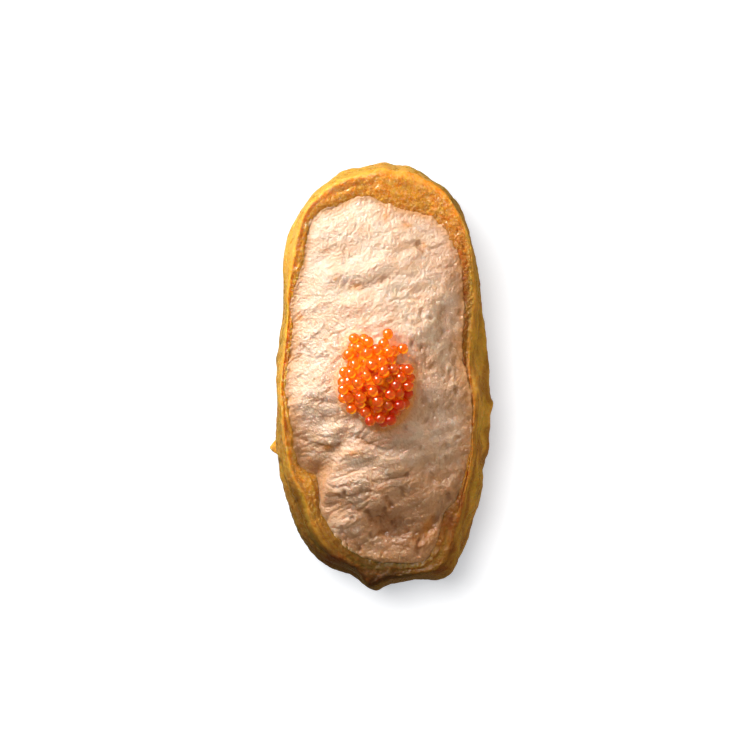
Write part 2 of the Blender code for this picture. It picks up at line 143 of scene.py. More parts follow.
# Where the filling thins out over the skin: direction, spread and reach
THIN = ((-118, 22, 4.5), (-80, 22, 2.6), (-20, 35, 1.4), (60, 12, 0.8), (150, 40, 0.4))
FRINGE = 0.5                                  # share of stock in the filling's very edge
FRINGE_LESS = ((-80, 26, 0.4),)
SPILL_LESS = ((-75, 22, 0.85),)               # where the filling ends at the lip

# What the skin's finish reads at every vertex
SKIN_MASKS = ("inside", "soaked", "browned", "dulled", "smeared", "streaks", "pale", "wet")

# Relief of the skin: the folded rim's second ridge, and how smooth the wall is
RIDGE_STRENGTH = 0.40
RIDGE_BUMPS = ((125, 38, 0.6), (-160, 22, 0.3), (-50, 40, 0.2))
WALL_CALM = ((138, 22, 0.7),)
WALL_WRINKLE = 0.05
WALL_UNEVENNESS = 0.08
CELL_DEPTH = 0.05                             # open cells of the rim, deeper where it is wet
WET_CELL_DEPTH = 0.11
RIM_GRIT = 0.03

# Wall: skin thickness low down and floor thickness; at the lip the folded rim fills the whole band
SKIN = 2.4
FLOOR = 2.4

# Folds pressed into the outer wall: start and end as direction and height, then width and depth
WALL_RADIUS = 27.0                # turns a direction into a distance along the wall
FOLDS = (
    (-134, 10.5, -95, 12.5, 1.4, 1.2),
    (-131, 14.2, -96, 15.8, 1.3, 1.1),
    (-138, 17.8, -99, 18.2, 1.2, 0.9),
    (34, 19.6, -44, 18.6, 1.1, 0.7),
    (20, 21.0, -60, 20.6, 0.9, 0.4),
    (-78, 6.0, -62, 17.0, 1.6, 1.3),
    (-54, 4.5, -40, 16.5, 1.7, 1.0),
    (-47, 11.0, -20, 15.0, 1.5, 0.8),
    (-28, 12.0, 6, 7.0, 1.8, 0.9),
    (-8, 15.5, 24, 13.0, 1.5, 0.8),
    (20, 10.5, 44, 4.5, 1.7, 0.9),
    (46, 15.0, 58, 6.5, 1.7, 1.1),
    (66, 6.0, 76, 17.5, 1.7, 1.1),
    (84, 14.5, 98, 9.0, 1.6, 0.8),
    (98, 18.6, 140, 19.2, 1.1, 0.8),
    (120, 5.0, 106, 15.0, 1.6, 1.1),
    (128, 14.5, 146, 7.0, 1.7, 1.0),
    (150, 15.0, 178, 9.0, 1.7, 0.9),
    (176, 16.5, 206, 12.5, 1.5, 0.8),
    (182, 6.5, 204, 5.0, 1.5, 0.7),
)
FOLD_CALM = 0.75                  # folds are this much shallower round the widest height
WALL_LUMP = 8.0
WALL_LUMP_DEPTH = 0.45
WALL_LUMP_SINK = 0.3              # lumps lie mostly inside the outline

# Torn flap of skin that sticks out low on the left
FLAP_TIP = (-20.2, -13.6, 6.4)
FLAP_TURN = 196.0

# Filling: outline where it meets the lip, and the heap over it
FILLING_HALF_LENGTH = 32.8
FILLING_HALF_WIDTH = 15.9
FILLING_SQUARENESS = 2.25
FILLING_BUMPS = (
    (-172.0, 15.8, 1.1),
    (-123.0, 4.4, -2.7),          # pocket at the lower left
    (-109.5, 9.4, -0.8),
    (-77.5, 4.5, 1.9),            # square lower right corner
    (-66.0, 2.8, -1.4),
    (21.0, 25.0, -2.5),           # straight right side
    (58.0, 4.0, 1.0),             # thick lip at the upper right
    (85.0, 8.0, -3.0),
    (114.7, 5.0, 2.9),            # upper left corner
    (137.8, 8.2, 0.9),
)
HEAP_TOP = 26.6
HEAP_FLATNESS = 2.0
HEAP_SAG = 1.2                    # how far the lower end falls away
SWELLS = (                        # middle x, y, then reach across, reach along and height
    (-10.0, -17.0, 5.0, 4.5, 1.0),
    (-4.5, -21.2, 5.0, 2.3, 1.1),
    (0.5, -25.5, 3.5, 2.6, -0.6),
    (2.5, -28.0, 4.5, 4.5, -1.0),
    (-7.0, -26.6, 2.6, 2.6, 0.5),
    (11.0, 2.5, 4.0, 6.0, 0.4),
    (8.0, 16.0, 5.0, 4.0, -0.5),
)
LUMP_SIZE = 6.5
LUMP_HEIGHT = 0.55
FLAKE_SLANT = 20.0                # the flakes rise to the right

# Cracks and pits in the heap: from x, y to x, y, then width and depth
CRACKS = (
    (-4.8, -11.0, 2.9, -12.4, 1.6, 0.55),
    (-11.5, -17.5, -2.5, -15.0, 1.7, 0.35),
    (-10.0, -23.0, -3.0, -21.2, 1.7, 0.3),
    (3.2, -21.5, 5.2, -23.2, 1.8, 0.8),
    (0.6, -27.0, 5.0, -27.2, 1.8, 0.6),
    (8.0, -27.5, 10.2, -24.0, 1.9, 0.8),
    (10.4, 10.6, 11.2, 5.0, 1.9, 0.35),
    (-7.0, 15.0, -2.8, 14.6, 1.8, 0.4),
    (1.0, 14.6, 9.0, 14.5, 1.8, 0.3),
    (6.4, 23.6, 7.6, 21.4, 1.8, 0.2),
    (-12.4, -8.0, -7.5, -6.8, 1.7, 0.25),
)

# Fine creases and pores of the filling, in the same way
CREASES = (
    (-7.0, 22.3, -7.0, 19.6, 0.45, 0.40),
    (-9.6, 22.2, -12.4, 19.9, 0.50, 0.28),
    (-8.3, 22.6, -11.2, 20.2, 0.40, 0.16),
    (-8.5, 25.1, -7.4, 24.6, 0.40, 0.28),
    (-4.9, 26.5, -5.0, 25.7, 0.35, 0.30),
    (3.6, 26.9, 5.0, 26.0, 0.35, 0.25),
    (6.2, 25.5, 7.7, 25.1, 0.35, 0.25),
    (-2.5, 20.9, -1.8, 20.8, 0.35, 0.28),
    (0.1, 17.2, -0.3, 16.5, 0.45, 0.50),
    (-6.8, 16.4, -7.1, 15.5, 0.45, 0.40),
    (-5.6, 15.9, -4.0, 15.5, 0.70, 0.25),
    (3.0, 22.8, -2.1, 15.0, 1.70, 0.28),
    (6.0, 23.0, 6.9, 21.8, 0.60, 0.80),
    (4.0, 9.7, 5.3, 9.1, 0.50, 0.45),
    (5.3, 9.1, 6.6, 9.7, 0.50, 0.45),
    (8.1, 10.1, 8.3, 10.1, 0.55, 0.70),
    (10.3, 11.6, 10.4, 8.0, 0.80, 0.50),
    (10.1, 7.8, 9.4, 6.2, 0.70, 0.50),
    (11.7, 9.7, 11.9, 9.6, 0.90, 0.35),
    (6.6, 4.6, 8.2, 2.0, 1.20, 0.60),
    (2.9, 5.2, 3.4, 3.4, 0.60, 0.35),
    (-14.7, 5.4, -13.0, 4.2, 0.40, 0.35),
    (-12.6, -4.2, -10.4, -4.8, 0.70, 0.50),
    (-9.9, -4.6, -8.0, -5.0, 0.50, 0.40),
    (-7.9, -7.4, -7.3, -7.9, 0.50, 0.40),
    (-15.4, -10.8, -13.8, -11.4, 0.50, 0.60),
    (-11.6, -12.6, -9.2, -13.2, 0.55, 0.45),
    (-8.0, -14.2, -8.0, -12.6, 0.50, 0.45),
    (-4.7, -10.9, -4.1, -10.0, 0.40, 0.50),
    (-0.6, -27.6, 0.4, -27.6, 0.50, 0.90),
    (0.3, -21.6, 1.2, -22.8, 0.60, 0.80),
    (-3.0, -24.0, -2.2, -25.6, 0.60, 0.80),
    (-1.3, -24.9, -0.4, -24.8, 0.50, 0.60),
    (8.9, -25.4, 6.4, -28.8, 0.90, 0.90),
    (-7.4, -28.0, -6.4, -29.4, 0.60, 0.30),
    (-5.2, -28.6, -4.4, -31.2, 0.60, 0.30),
)

# Flakes with one sharp edge: the edge's points, with the flake on the left of them, then its rise,
# how far the rise reaches back, and the depth of the crack along the edge
FLAKES = (
    (((1.6, 26.0), (2.2, 24.4), (4.2, 23.5), (6.0, 23.9), (7.7, 22.7), (9.0, 22.6), (10.8, 23.8)),
     0.18, 2.4, 0.20),
    (((7.0, 13.1), (5.0, 13.3), (2.3, 13.2), (0.4, 12.4)), 0.22, 2.2, 0.40),
    (((9.0, 19.6), (10.6, 19.0), (12.4, 19.8)), 0.20, 1.4, 0.25),
    (((-12.2, -11.9), (-10.5, -12.2), (-8.9, -12.3), (-7.4, -11.5)), 0.45, 1.3, 0.45),
    (((-5.2, -10.5), (-3.2, -11.2), (-1.6, -12.0), (0.3, -12.9), (2.4, -12.1)), 0.15, 1.2, 0.40),
    (((-10.3, -18.8), (-8.4, -19.5), (-6.6, -19.3), (-4.4, -18.4)), 0.30, 1.8, 0.35),
    (((-3.3, -16.6), (-5.1, -17.1), (-6.9, -17.6), (-10.2, -18.9)), 0.32, 1.2, 0.40),
    (((-9.4, -20.0), (-7.5, -21.2), (-5.6, -20.9), (-4.2, -20.2), (-1.8, -19.9)), 0.38, 1.4, 0.35),
    (((-0.6, -18.2), (1.9, -17.8), (3.6, -17.1), (5.2, -15.6)), 0.40, 0.9, 0.45),
    (((-6.2, -21.8), (-4.3, -23.4), (-2.7, -21.9)), 0.35, 1.2, 0.35),
    (((5.4, -27.3), (2.6, -28.6), (-1.2, -28.2), (-2.6, -29.2)), 0.40, 1.5, 0.45),
    (((-7.5, -25.4), (-6.9, -27.4), (-6.0, -30.6)), 0.25, 1.0, 0.15),
    (((-10.6, -25.6), (-8.8, -29.4), (-8.2, -27.6)), 0.25, 0.8, 0.25),
    (((-8.9, -14.6), (-9.2, -18.2)), 0.30, 1.4, 0.30),
    (((10.6, -21.8), (7.2, -24.6)), 0.20, 1.4, 0.20),
    (((-13.4, 6.4), (-11.0, 8.2), (-8.0, 8.6)), 0.22, 1.8, 0.20),
    (((-9.4, 1.6), (-7.6, 3.6), (-7.0, 5.6)), 0.22, 1.2, 0.22),
    (((4.0, 1.4), (4.4, -0.6), (6.4, -1.4)), 0.30, 1.2, 0.25),
)

# Soft strands lying on the filling: from x, y to x, y, then width and height
STRANDS = (
    (-5.9, -9.6, -5.2, -6.6, 0.55, 0.50),
    (-4.0, -9.6, -3.6, -8.0, 0.35, 0.35),
    (-0.6, -24.5, 2.0, -22.9, 0.45, 0.50),
    (-3.8, -31.0, -1.2, -32.2, 0.70, 0.40),
    (-1.2, -32.2, 4.2, -31.6, 0.80, 0.40),
    (-11.8, -11.3, -9.2, -11.4, 0.50, 0.30),
    (-7.0, -17.4, -4.4, -16.8, 0.40, 0.25),
    (-10.2, -14.4, -10.4, -24.4, 1.00, 0.45),
    (0.4, -17.0, 3.4, -16.2, 0.50, 0.35),
    (5.4, 16.2, 3.4, 13.6, 0.40, 0.12),
    (7.6, 18.8, 5.2, 15.4, 0.40, 0.10),
    (8.0, 2.0, 10.2, 5.2, 0.60, 0.35),
    (4.6, 3.6, 6.2, 2.2, 0.40, 0.30),
)

# Painted shade on the filling: middle x, y, then reach across and along, and share; a negative share takes
# painted shade away
SHADED = (
    (-0.8, -25.0, 3.2, 4.4, 0.45), (4.5, -27.5, 4.5, 4.5, 0.55), (10.5, -2.0, 3.0, 5.0, 0.3),
    (-3.2, -11.9, 3.4, 0.9, 0.7), (8.6, 21.0, 3.5, 4.5, 0.3), (6.5, -19.5, 3.0, 2.5, 0.5),
    (6.8, -29.5, 2.4, 2.0, 0.5), (0.3, -19.5, 3.2, 1.5, 0.3), (-7.7, -23.5, 2.2, 1.5, 0.35),
    (-8.4, -27.0, 3.0, 1.8, -0.5), (10.2, -23.0, 2.0, 2.0, -0.3), (9.6, 9.5, 2.5, 3.0, -0.2),
    (11.6, 18.6, 2.5, 4.5, 0.35), (-2.5, -14.3, 4.0, 1.6, -0.5), (-15.0, -13.0, 1.5, 2.5, -0.4),
    (-13.0, -4.4, 3.0, 3.0, -0.3),
)

# More parts of the filling in the same way
CREAMY = ((-6.0, 21.5, 10.0, 8.5, 1.3), (7.0, 25.5, 4.0, 3.0, 0.6))         # smooth, without broad fibres
CALM = ((6.0, 23.5, 7.5, 5.5, 1.0), (-6.0, 21.5, 9.0, 8.0, 0.5))            # with flatter fibres
CALM_SHARE = 0.6
WET_PLACES = ((-8.0, 19.0, 9.0, 11.0, 0.9), (-10.0, -4.0, 6.0, 12.0, 0.7),
              (-3.0, -20.0, 6.0, 7.0, 0.5), (9.0, 8.0, 5.0, 16.0, 0.4))
CLEAR_OF_THIN_AND_SHADE = ((-8.4, -27.0, 3.2, 2.2, 0.6),)                              # the thinly spread colour and the low end's painted shade are left off here

# Fibres of the filling, a row for the broad ones, the narrow ones and the threads:
# part of the heap, strength, lean, width, length and where in the noise they are taken
FIBRES = (
    (("left_flaky", 1.5, 35, 1.5, 4.5, 3.1), ("right", 1.4, 86, 1.4, 3.0, 14.2),
     ("left_low", 2.6, 14, 1.5, 4.5, 31.5)),
    (("left_high", 1.0, 33, 0.62, 2.6, 8.7), ("right", 1.2, 92, 0.62, 2.0, 21.9),
     ("left_low", 0.6, 18, 0.62, 2.0, 37.4)),
    (("left_high", 1.0, 30, 0.36, 1.4, 11.3), ("right", 1.2, 84, 0.36, 1.1, 24.6),
     ("left_low", 0.7, 22, 0.38, 1.2, 39.8)),
)
FAN = (5.0, 17.0, 7.5, 4.5)                   # the folded lobe at the upper right
FAN_FIBRES = (0.8, 62, 0.9, 3.0, 42.3)
FIBRE_BEND = 1.1

# Depth of each layer of the filling's relief: the three rows of fibres, then crumbs, soft swells and pebbles
FIBRE_DEPTHS = (0.03, 0.035, 0.022)
CRUMB_DEPTH = 0.03
SWELL_DEPTH = 0.09
PEBBLE_DEPTH = 0.035

# Open pores: seed and count, the corners of their place, then the ranges of radius and depth
PORES = (
    (5, 70, (3.0, -30.0), (15.0, 12.0), (0.28, 0.6), (0.15, 0.45)),
    (6, 34, (-14.0, -10.0), (-5.0, 9.0), (0.25, 0.5), (0.12, 0.35)),
    (8, 26, (-8.0, -31.0), (8.0, -20.0), (0.25, 0.55), (0.2, 0.55)),
)

# Oil that has run into the filling: a ring round the roe, which also carries the roe's painted orange shadow
# on its lower right, and spots with their middle x, y and their reach across and along
OIL_REACH = 0.65
OIL_SPOT_SHARE = 0.8
OIL_SPOTS = (
    (4.3, 26.5, 0.9, 0.5), (0.3, 28.2, 0.5, 1.0), (-4.9, 15.7, 1.2, 0.7),
    (-14.8, 10.4, 0.6, 0.7), (-8.6, 17.0, 0.5, 0.3), (-10.2, 6.2, 0.3, 0.3), (7.0, 23.0, 0.4, 0.5),
    (-10.0, -12.5, 1.2, 0.5), (-5.6, -13.6, 1.6, 0.7), (-13.8, -22.0, 1.0, 4.0), (8.0, -27.0, 1.3, 2.0),
)

# Roe: outline of the mound on the heap, its eggs and the juice they sit in
ROE_CENTRE = (-1.5, -0.7)
ROE_HALF_LENGTH = 9.0
ROE_HALF_WIDTH = 7.0
ROE_SQUARENESS = 2.2
ROE_BUMPS = ((-112, 13, -1.5), (39, 8, -2.4), (68, 10, -2.0), (92, 8, -2.2), (122, 12, 0.7), (153, 9, -1.2))
EGG_RADIUS = 1.0
EGG_VARIATION = 0.06
EGG_COUNT = 82
EGG_TRIES = 500
EGG_CONTACT = 0.95                # neighbours press into each other a little
EGG_SINK = 1.04                   # radii between the heap and an egg's middle
EGG_SQUASH = 0.03
EGG_LIT_FROM = (0.62, -0.78, 0.0)  # away from the key light, where the light gathers in an egg
EGG_SEED = 11
STRAY_EGGS = ((0.6, 7.35), (-0.1, 5.65), (1.7, 4.35), (3.25, 4.78))  # eggs trailing off the upper edge
ROE_HEAPING = 1.4                 # how strongly the eggs gather in the middle
ROE_CORE_SHRINK = 0.86
ROE_CORE_COVER = 0.95             # eggs stand this far out of the juice
ROE_CORE_RIM = 0.12
ROE_CORE_LIFT = 0.1
ROE_SEAT_FADE = 3.0               # the heap is smoothed this far round the roe
EGG_SEAT = 0.55                   # the filling rises this much to take the roe

# Edge of the filling on the rim's inner slope
EDGE_THICKNESS = 0.36
EDGE_SINK = 0.14                  # the very edge is pressed this far into the skin
RIM_TURN = 0.5                    # degrees between the sections the slope is read from
RIM_STEPS = 21

# Sides of the filling: the rings below its edge, and how far a new ring is first drawn down, in metres
SIDE_RINGS = (0.15, 0.6, 1.0, 2.0, 3.0, 4.0, 5.0)
SIDE_STEP = 0.0005

# The solid filling's lower rings and its columns, which its lowest corner is found from
SOLID_RINGS = (3, 4, 5, 5.8, 6.4, 7)
SOLID_COLUMNS = 88

# Mesh density
POUCH_COLUMNS = 620
HEAP_ACROSS = 200
HEAP_ALONG = 420

# Camera
CAMERA_DISTANCE = 800.0           # from the plane of the pouch's widest height
CAMERA_AXIS = (-1.52, 0.09)
PHOTO_WIDTH = 134.0               # width of the view at that plane
SENSOR = 36.0

# Lamps, in metres and degrees: name, direction, elevation, distance, size, the setting of its power, its
# share of that power, and its colour
KEY_TINT = (1.0, 0.97, 0.93)
LAMPS = (
    ("key", 130.0, 28.0, 0.24, 0.13, "key_power", 0.61, KEY_TINT),
    ("key_through_eggs", 130.0, 28.0, 0.24, 0.13, "key_power", 0.35, KEY_TINT),
    ("glint", 130.0, 42.0, 0.24, 0.095, "key_power", 0.68, KEY_TINT),
    ("egg_glint", 130.0, 36.0, 0.24, 0.10, "key_power", 1.15, KEY_TINT),
    ("fill", 150.0, 75.0, 0.60, 0.40, "fill_power", 1.0, (1.0, 0.94, 0.86)),
    ("card", 0.0, 14.0, 0.50, 0.45, "card_power", 1.0, (1.0, 0.87, 0.67)),
)
GLINT_LAMPS = ("glint", "egg_glint")          # make highlights alone; the others make none
LAMP_TARGET = (0.0, 0.0, 0.02)
FLOOR_SIZE = 1.6
WASH_DIRECTION = 133.0                        # a broad sun that lights the floor alone
WASH_ELEVATION = 72.0
WASH_POWER = 2.6
WASH_SPREAD = 28.0
ROOM_TINT = (1.0, 0.80, 0.60, 1.0)
FLOOR_TINT = (0.87, 0.93, 1.0, 1.0)

# Wet film on a surface: size of its grain and of its patches in millimetres, roughness where wet and where
# dry, depth of the grain in metres, how much deeper it is in the wet places, and the specular level
SKIN_FILM = (0.50, 1.8, 0.05, 0.30, 0.0003, 2.8, 0.30)
FILLING_FILM = (0.50, 1.6, 0.05, 0.25, 0.0004, 1.4, 0.75)
DRY_GRAIN = 0.6
DRY_ROUGHNESS = 0.15


def linear(red, green, blue):
    """A display colour of 0 to 255 as the linear colour that a material takes."""
    shares = (value / 255.0 for value in (red, green, blue))
    return tuple(share / 12.92 if share <= 0.04045 else ((share + 0.055) / 1.055) ** 2.4 for share in shares)


# ---------------------------------------------------------------- shapes shared with the solids

def turn_between(direction, other):
    """Signed angle in degrees from one direction to another."""
    return (direction - other + 180.0) % 360.0 - 180.0


def bumps(direction, entries):
    """Sum of soft bumps round an outline."""
    total = np.zeros_like(direction)
    for middle, spread, height in entries:
        total = total + height * np.exp(-0.5 * (turn_between(direction, middle) / spread) ** 2)
    return total


def outline(direction, half_length, half_width, squareness, entries):
    """Radius of a squared oval with bumps."""
    angle = np.radians(direction)
    across = np.abs(np.cos(angle) / half_width) ** squareness
    along = np.abs(np.sin(angle) / half_length) ** squareness
    return (across + along) ** (-1.0 / squareness) + bumps(direction, entries)


def pouch_radius(direction):
    return outline(direction, POUCH_HALF_LENGTH, POUCH_HALF_WIDTH, POUCH_SQUARENESS, POUCH_BUMPS)


def foot_radius(direction):
    return outline(direction, POUCH_HALF_LENGTH, POUCH_HALF_WIDTH, POUCH_SQUARENESS, FOOT_BUMPS)


def filling_radius(direction):
    return outline(direction, FILLING_HALF_LENGTH, FILLING_HALF_WIDTH, FILLING_SQUARENESS, FILLING_BUMPS)


def rim_height(direction):
    return RIM_HEIGHT + bumps(direction, RIM_BUMPS)


def lip_height(direction):
    return rim_height(direction) - LIP_DROP - bumps(direction, LIP_BUMPS)


def smooth_step(value):
    share = np.clip(value, 0.0, 1.0)
    return share * share * (3.0 - 2.0 * share)


def past(value, ring, fade):
    """0 up to a ring of the section, 1 from a fade beyond it."""
    return smooth_step((value - ring) / fade)


def before(value, ring, fade):
    """1 up to a fade before a ring of the section, 0 from the ring on."""
    return smooth_step((ring - value) / fade)


def groove(u, v, start, end, width):
    """A soft groove between two points, 1 deep, with a small swell along both sides."""
    run = (end[0] - start[0], end[1] - start[1])
    along = ((u - start[0]) * run[0] + (v - start[1]) * run[1]) / (run[0] ** 2 + run[1] ** 2)
    along = np.clip(along, 0.0, 1.0)
    away = np.hypot(u - start[0] - along * run[0], v - start[1] - along * run[1]) / width
    return np.exp(-away ** 2) - 0.35 * np.exp(-(away - 2.0) ** 2)


def grooves(x, y, entries, swell=True):
    """Sum of grooves, each from x, y to x, y with its width and depth; the swell beside them is optional."""
    total = np.zeros_like(x)
    for x0, y0, x1, y1, width, deep in entries:
        cut = groove(x, y, (x0, y0), (x1, y1), width)
        total = total + deep * (cut if swell else np.maximum(cut, 0.0))
    return total


def region(x, y, at_x, at_y, wide, tall):
    """A soft oval, 1 in its middle."""
    return np.exp(-((x - at_x) / wide) ** 2 - ((y - at_y) / tall) ** 2)


def patches(x, y, entries):
    """Sum of soft ovals, each with its middle, its reach across and along, and its share."""
    total = np.zeros_like(x)
    for at_x, at_y, wide, tall, share in entries:
        total = total + share * region(x, y, at_x, at_y, wide, tall)
    return total


def lumps(x, y, z, size, octaves):
    """Smooth unevenness of about -1 to 1 at each point."""
    points = np.stack([x, y, z], axis=-1) / size
    return np.array([noise.fractal(Vector(point), 1.0, 2.0, octaves) for point in points])


def section(keys, knot):
    """Point of each vertex on its own section: a curve through the section's keys."""
    keys = np.stack(np.broadcast_arrays(*keys))
    last = len(keys) - 1
    lower = np.clip(knot.astype(int), 0, last - 1)
    share = knot - lower
    index = np.arange(len(knot))
    before, start, end, after = (keys[np.clip(lower + step, 0, last), index] for step in (-1, 0, 1, 2))
    bend = 2 * before - 5 * start + 4 * end - after
    twist = 3 * (start - end) + after - before
    return start + 0.5 * share * (end - before + share * (bend + share * twist))


def hollow_keys(direction, gap):
    """Keys of the pouch's hollow from the lip to the middle of its floor, drawn in by a gap."""
    radius = pouch_radius(direction)
    foot = foot_radius(direction)
    lip = lip_height(direction)
    band = radius - filling_radius(direction)
    reach = (
        radius - band - gap,
        radius - band - gap,
        radius - 0.5 * (band + SKIN) - gap,
        radius - SKIN - gap,
        0.5 * (radius + foot) - SKIN - 1.5 - gap,
        foot - BASE_INSET - gap,
        0.5 * (foot - BASE_INSET),
        0.0 * radius,
    )
    floor = FLOOR + gap
    height = (lip, lip - 2.0, lip - 5.5, 9.0 + 0.0 * lip, 4.6 + gap, floor, floor, floor)
    return reach, height


def pouch_shape(direction, knot):
    """Outer floor, bulging wall, rolled rim and hollow of the pouch."""
    radius = pouch_radius(direction)
    top = rim_height(direction)
    band = radius - filling_radius(direction)
    crest = band * (CREST_SHARE + bumps(direction, CREST_BUMPS))
    lip = lip_height(direction)
    hollow_reach, hollow_height = hollow_keys(direction, 0.0)
    foot = foot_radius(direction)
    reach = section((
        0.0 * radius,
        0.5 * (foot - BASE_INSET),
        foot - BASE_INSET,
        foot - 4.0,
        0.5 * (foot + radius) - 1.5,
        radius,
        radius - 0.3,
        radius - 0.55 * crest,
        radius - crest,
        radius - crest - 0.45 * (band - crest),
    ) + hollow_reach, knot)
    height = section((
        0.0 * radius,
        0.0 * radius,
        0.0 * radius,
        1.3 + 0.0 * radius,
        5.0 + 0.0 * radius,
        WIDEST_HEIGHT + 0.0 * radius,
        WIDEST_HEIGHT + 0.48 * (top - WIDEST_HEIGHT),
        WIDEST_HEIGHT + 0.84 * (top - WIDEST_HEIGHT),
        top,
        top - 0.35 * (top - lip),
    ) + hollow_height, knot)
    height = np.maximum(height, 0.0)
    outside = smooth_step(knot - 2.0) * smooth_step(9.0 - knot)
    depth = np.zeros_like(reach)
    for start, low, end, high, width, deep in FOLDS:
        turned = np.radians(start + turn_between(direction, start)) * WALL_RADIUS
        ends = (math.radians(start) * WALL_RADIUS, math.radians(end) * WALL_RADIUS)
        depth = depth + deep * groove(turned, height, (ends[0], low), (ends[1], high), width)
    depth = depth * (1.0 - FOLD_CALM * np.exp(-((height - WIDEST_HEIGHT) / 3.5) ** 2))
    angle = np.radians(direction)
    wave = lumps(reach * np.cos(angle), reach * np.sin(angle), height, WALL_LUMP, 2)
    reach = reach + outside * (WALL_LUMP_DEPTH * (wave - WALL_LUMP_SINK) - depth)
    return np.stack([reach * np.cos(angle), reach * np.sin(angle), height], axis=-1)


def heap_height(x, y):
    """Top of the filling at a point: a low heap with lumps and cracks."""
    direction = np.degrees(np.arctan2(y, x))
    share = np.clip(np.hypot(x, y) / filling_radius(direction), 0.0, 1.0)
    edge = lip_height(direction)
    sag = HEAP_SAG * smooth_step((-y - 1.0) / 31.0)
    rise = 1.0 - share ** HEAP_FLATNESS
    slant = math.radians(FLAKE_SLANT)
    u = x * math.cos(slant) + y * math.sin(slant)
    v = y * math.cos(slant) - x * math.sin(slant)
    uneven = LUMP_HEIGHT * lumps(u * 0.6, v * 1.3, 0.0 * u, LUMP_SIZE, 3)
    uneven = uneven + patches(x, y, SWELLS) - grooves(x, y, CRACKS)
    calm = smooth_step((roe_reach(x, y) - 0.2) / ROE_SEAT_FADE) * smooth_step((1.0 - share) / 0.1)
    return edge + (HEAP_TOP - sag - edge) * rise + calm * uneven


def roe_reach(x, y):
    """Distance of a point outside the roe's outline, negative inside."""
    x = x - ROE_CENTRE[0]
    y = y - ROE_CENTRE[1]
    direction = np.degrees(np.arctan2(y, x))
    return np.hypot(x, y) - roe_radius(direction)


def roe_radius(direction):
    return outline(direction, ROE_HALF_LENGTH, ROE_HALF_WIDTH, ROE_SQUARENESS, ROE_BUMPS)


def egg_places():
    """Eggs dropped one by one: each takes the lowest of a few drawn places, on the heap or on eggs below."""
    draw = random.Random(EGG_SEED)
    eggs = []
    for x, y in STRAY_EGGS:
        seat = float(heap_height(np.array([x]), np.array([y]))[0])
        eggs.append((x, y, seat + GAP + EGG_SINK * EGG_RADIUS, EGG_RADIUS))
    for _ in range(EGG_COUNT):
        direction = np.array([draw.uniform(-180.0, 180.0) for _ in range(EGG_TRIES)])
        share = np.array([math.sqrt(draw.random()) for _ in range(EGG_TRIES)])
        radius = EGG_RADIUS * (1.0 + EGG_VARIATION * draw.uniform(-1.0, 1.0))
        reach = share * (roe_radius(direction) - radius)
        x = ROE_CENTRE[0] + reach * np.cos(np.radians(direction))
        y = ROE_CENTRE[1] + reach * np.sin(np.radians(direction))
        z = heap_height(x, y) + GAP + EGG_SINK * radius
        for other_x, other_y, other_z, other_radius in eggs:
            contact = EGG_CONTACT * (radius + other_radius)
            apart = (x - other_x) ** 2 + (y - other_y) ** 2
            on_other = other_z + np.sqrt(np.maximum(contact ** 2 - apart, 0.0))
            z = np.where(apart < contact ** 2, np.maximum(z, on_other), z)
        best = int(np.argmin(z + ROE_HEAPING * share ** 2))
        eggs.append((x[best], y[best], z[best], radius))
    return eggs


def solid_shift():
    """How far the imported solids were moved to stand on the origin, from the filling's own lowest corner."""
    turns = np.arange(SOLID_COLUMNS) * 2.0 * math.pi / SOLID_COLUMNS
    stretch = math.sqrt(POUCH_HALF_LENGTH / POUCH_HALF_WIDTH)
    direction = np.degrees(np.arctan2(stretch * np.sin(turns), np.cos(turns)))
    angle = np.radians(direction)
    reach_keys = hollow_keys(direction, GAP)[0][::-1]
    lows = []
    for knot in SOLID_RINGS:
        reach = section(reach_keys, np.full(SOLID_COLUMNS, float(knot)))
        lows.append((min(reach * np.cos(angle)), min(reach * np.sin(angle)), FLOOR + GAP))
    low = np.array(lows).min(axis=0)
    packed = np.array(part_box("filling")[0]) / MM
    return packed - low


# ---------------------------------------------------------------- fine relief

def sampled(sample, x, y, z, size):
    """A noise at each point, in units of size."""
    points = np.stack(np.broadcast_arrays(x, y, z), axis=-1).reshape(-1, 3) / size
    return np.array([sample(point) for point in points.tolist()]).reshape(np.shape(x))


def fine(x, y, z, size, octaves=2):
    """Fine unevenness of about -1 to 1."""
    return sampled(lambda point: noise.fractal(point, 1.0, 2.0, octaves), x, y, z, size)


def crumbs(x, y, z, size):
    """Rounded grains pressed together: 1 on a grain's top and 0 between grains."""
    def grain(point):
        near = noise.voronoi(point)[0]
        return min(1.0, 2.2 * (near[1] - near[0]))
    return sampled(grain, x, y, z, size)


def fibres(x, y, z, lean, width, length, seed):
    """Rounded strands side by side at one lean, 1 on a strand's back and -1 in the crease between."""
    angle = math.radians(lean)
    along = (x * math.cos(angle) + y * math.sin(angle)) / length
    across = (y * math.cos(angle) - x * math.sin(angle)) / width
    value = sampled(noise.noise, along, across, z / (2.5 * width) + seed, 1.0)
    return 2.0 * np.minimum(3.2 * np.abs(value), 1.0) ** 0.7 - 1.0


